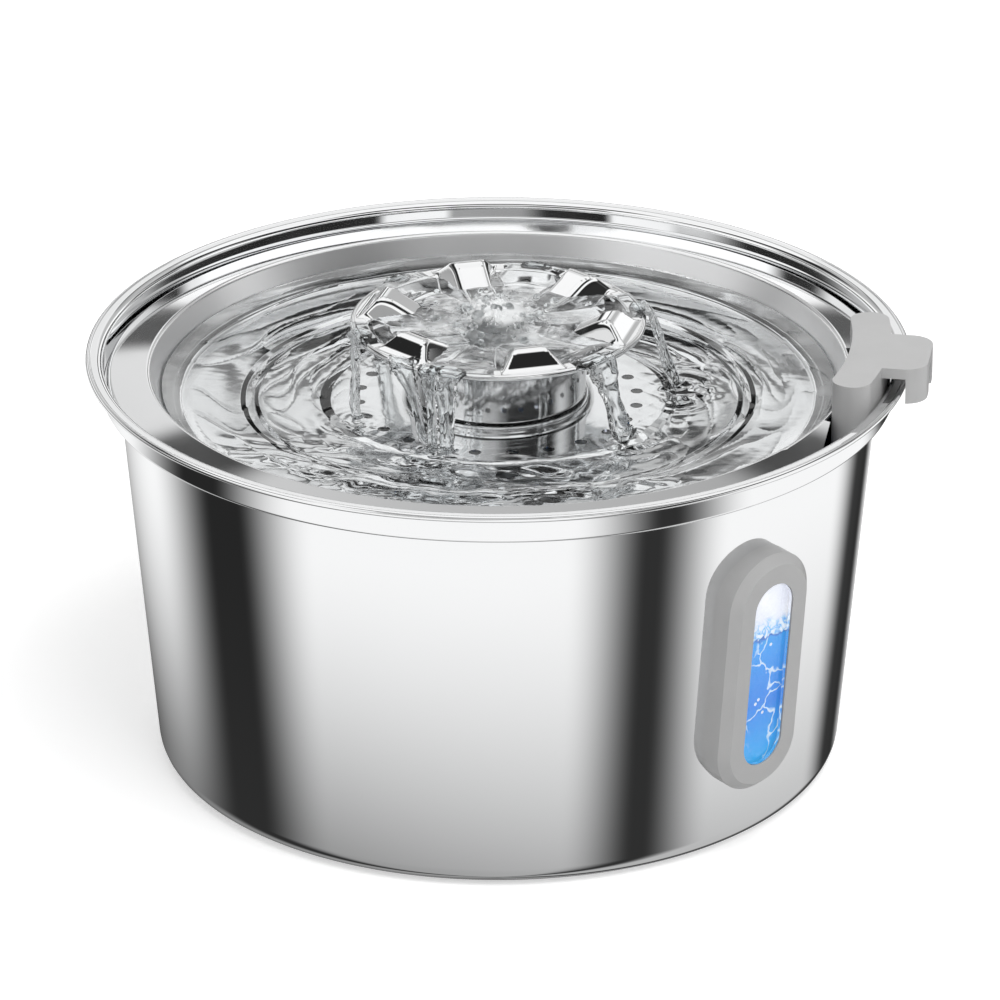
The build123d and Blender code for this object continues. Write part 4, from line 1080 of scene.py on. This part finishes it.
def smooth_path(points, count):
    """Points along a Catmull-Rom curve."""
    points = np.array(points, float)
    before, after = 2 * points[:1] - points[1:2], 2 * points[-1:] - points[-2:-1]
    points = np.concatenate((before, points, after))
    places = np.linspace(0, len(points) - 3 - 1e-9, count)
    k = places.astype(int)
    t = (places - k)[:, None]
    a, b, c, d = (points[k + i] for i in range(4))
    square, cube = 2 * a - 5 * b + 4 * c - d, 3 * b - a - 3 * c + d
    return 0.5 * (2 * b + (c - a) * t + square * t**2 + cube * t**3)


STREAM_RINGS = 70
STREAM_SIDES = 28
FALL_REACH = 46.2
FALL = (  # radius and height of a stream that lands at FALL_REACH
    (37.0, 127.7), (40.0, 128.35), (41.9, 127.6), (42.9, 124.0), (43.8, 118.5), (45.0, 112.5),
    (FALL_REACH, 107.6), (46.6, 106.2),
)
# Shares of a stream's length, then its depth there as a share of its half depth.
THIN_AT, THIN = (0, 0.12, 0.3, 0.6, 0.93, 1), (0.25, 0.35, 0.6, 1.0, 1.1, 1.7)
WIDE_AT = (0, 0.3, 0.6, 0.93, 1)
# Lumps on a stream: size, bumps round it, bumps along it.
LUMPS = ((0.36, 1.3, 6.0), (0.24, 3, 15.0))
SWAY = 0.5


def make_stream(name, start, foot, reach, halves, deep, seed):
    path = []
    for k, (radius, height) in enumerate(FALL):
        share = k / (len(FALL) - 1)
        radius += (reach - FALL_REACH) * share**1.5
        turn = math.radians(start + (foot - start) * share)
        path.append((radius * math.cos(turn), radius * math.sin(turn), height))
    line = smooth_path(path, STREAM_RINGS)
    ways = np.gradient(line, axis=0)
    ways /= np.linalg.norm(ways, axis=1)[:, None]
    middle = math.radians((start + foot) / 2)
    across = np.array((-math.sin(middle), math.cos(middle), 0.0))
    across = across - ways * (ways @ across)[:, None]
    across /= np.linalg.norm(across, axis=1)[:, None]
    out = np.cross(across, ways)
    share = np.linspace(0, 1, STREAM_RINGS)
    rim, halfway, end = halves
    wide = np.interp(share, WIDE_AT, (rim, rim, halfway, halfway * 1.1, end))
    thin = deep * np.interp(share, THIN_AT, THIN)
    c, s = polar(1.0, ring_turns(STREAM_SIDES)[None, :])
    lump = 1
    for k, (size, often, along_it) in enumerate(LUMPS):
        noise = lattice_noise(often * c, often * s, share[:, None] * along_it, seed + k)
        lump = lump + size * noise
    ends = np.minimum(1, np.sqrt(np.clip(share * 14, 0, 1)) + 0.02)[:, None]
    sway = SWAY * lattice_noise(share * 3.0, share * 0, 0.5, seed + 2)[:, None, None]
    points = line[:, None, :] + sway * across[:, None, :]
    points = points + (wide[:, None] * c * lump * ends)[..., None] * across[:, None, :]
    points = points + (thin[:, None] * s * lump * ends)[..., None] * out[:, None, :]
    faces = grid_faces(STREAM_RINGS, STREAM_SIDES)
    faces.append(list(range(STREAM_SIDES)))
    last = (STREAM_RINGS - 1) * STREAM_SIDES
    faces.append([last + i for i in reversed(range(STREAM_SIDES))])
    return make_piece(name, points.reshape(-1, 3), [face[::-1] for face in faces])


clear_water = dress("clear_water", water)
place_piece(make_pool(), "tray", dress("pool_water", water, froth=0.38))
place_piece(make_dish_water(), "spout", dress("lively_water", water, air=0.35))
place_piece(make_droplets(), "spout", clear_water)
for stream in STREAMS:
    place_piece(make_stream(*stream), "spout", clear_water)


# ---- level window
WATER_LINE = 68.0
WINDOW_FOOT = 29.0
SLAB = (16.6, 58.4)
SLAB_DEPTH = (0.2, 3.2)  # from the wall's face to behind the lens
SLAB_CORNER = 0.4
SLAB_SHRINK = 0.96  # width of its two faces, as a share
SLAB_SEGMENTS = 20

# Painted caustic light: the colour of the bright veins in the window's water.
PAINTED_CAUSTICS = (0.80, 0.92, 1.0)
BUBBLE = (0.9, 0.97, 1.0)
EDGE_BLUE = (0.01, 0.09, 0.40)
BLUES = ((0.0, (0.01, 0.42, 0.90)), (0.45, (0.0, 0.22, 0.78)), (1.0, (0.01, 0.34, 0.86)))
FOAM = (
    (0.0, (0.98, 0.99, 1.0)), (0.35, (0.80, 0.90, 1.0)), (0.55, (0.10, 0.42, 0.86)),
    (0.8, (0.9, 0.95, 1.0)),
)
# Painted light: the pale, lit air above the water line.
PAINTED_AIR_LIGHT = ((0.3, (0.78, 0.80, 0.93)), (0.7, (0.97, 0.97, 1.0)))


def glowing_window_look(net):
    """Painted glow: blue water with bright caustic veins below the water line, foam on it, lit air
    above.
    """
    waver = net.spread(net.grain(350.0, 2.0), 0.3, 0.7, -1.1 * MM, 1.1 * MM, "LINEAR")
    height = net.maths("ADD", net.split(net.place)[2], waver)

    def rising(start, end, most=1.0):
        """0 to most between two heights over the water line."""
        return net.spread(height, (WATER_LINE + start) * MM, (WATER_LINE + end) * MM, 0.0, most)

    depth = net.spread(height, WINDOW_FOOT * MM, WATER_LINE * MM, way="LINEAR")
    bend = net.grain(160.0, 2.0, output="Color")
    bent = net.feed("VectorMath", bend, (0.012,) * 3, net.place, operation="MULTIPLY_ADD")[0]
    # Painted caustic light: bright veins of light in the blue water.
    painted_caustics = net.spread(net.cells(95.0, "DISTANCE_TO_EDGE", bent), 0.0, 0.05, 0.9, 0.0)
    painted_caustics = net.maths("MULTIPLY", painted_caustics, net.spread(net.grain(90.0), 0.44, 0.62))
    below = net.mix(painted_caustics, net.ramp(depth, BLUES), PAINTED_CAUSTICS)
    below = net.mix(net.spread(net.cells(260.0), 0.10, 0.16, 0.9, 0.0), below, BUBBLE)
    below = net.mix(rising(-1.6, -0.4, 0.8), below, EDGE_BLUE)
    froth = net.cells(430.0, place=bent)
    # Painted light: the air above the water line is painted pale.
    above = net.mix(rising(2.0, 5.5), net.ramp(froth, FOAM), net.ramp(net.grain(110.0), PAINTED_AIR_LIGHT))
    colour = net.mix(rising(-0.5, 0.0), below, above)
    return {
        "Base Color": colour,
        # Painted glow: the whole slab glows in place of the light from the pump's lamp.
        "Emission Color": colour,
        "Emission Strength": 0.7,
        "Roughness": 0.25,
        "Normal": net.relief(froth, 0.2 * MM),
    }


def make_window_water():
    """An upright slab with round ends, just behind the lens."""
    width, length = SLAB
    outline = []
    for way in (1, -1):
        for k in range(SLAB_SEGMENTS + 1):
            turn = math.pi * k / SLAB_SEGMENTS
            up = way * ((length - width) / 2 + math.sin(turn) * width / 2)
            outline.append((way * math.cos(turn) * width / 2, up))
    front, back = SLAB_DEPTH
    depths = (front, front + SLAB_CORNER, back - SLAB_CORNER, back)
    places = []
    for depth, shrink in zip(depths, (SLAB_SHRINK, 1.0, 1.0, SLAB_SHRINK)):
        for u, v in outline:
            place = window_centre + u * shrink * window_across + v * window_up
            places.append(place + depth * window_out)
    count = len(outline)
    faces = [face[::-1] for face in grid_faces(4, count)]
    faces.append(list(range(count))[::-1])
    faces.append(list(range(3 * count, 4 * count)))
    piece = make_piece("window_water", np.array(places), faces)
    piece.data.shade_flat()
    return piece


place_piece(make_window_water(), "bowl", dress("window_water", glowing_window_look))


# ---- sponge and cotton
PORES = (2.2, 0.9)  # lengths of the coarse and the fine bumps


def make_pad(name, node, cell, roughness, seed):
    """A cut block of sponge or cotton: its CAD shape with a slightly uneven skin."""
    piece = new_object(name, nodes[node].data.copy())
    remesh = piece.modifiers.new("cells", "REMESH")
    remesh.mode = "VOXEL"
    remesh.voxel_size = cell * MM
    evaluated = piece.evaluated_get(bpy.context.evaluated_depsgraph_get())
    made = bpy.data.meshes.new_from_object(evaluated)
    piece.modifiers.clear()
    piece.data = made
    spots = np.empty(len(made.vertices) * 3)
    made.vertices.foreach_get("co", spots)
    spots = spots.reshape(-1, 3) / MM
    ways = np.array([v.normal for v in made.vertices])
    coarse, fine = (lattice_noise(*(spots / size).T, seed + k) for k, size in enumerate(PORES))
    rise = coarse + 0.6 * fine
    spots -= ways * (roughness * (0.8 + 0.8 * rise))[:, None]
    made.vertices.foreach_set("co", (spots * MM).ravel())
    made.shade_smooth()
    return piece


sponge = make_pad("sponge", "intake_foam", 0.9, 0.16, 41)
stand_in(sponge, "foam", "foam", "intake_foam")
cotton_pad = make_pad("cotton_pad", "filter_cotton", 1.2, 0.22, 43)
stand_in(cotton_pad, "filter", "cotton", "filter_cotton")
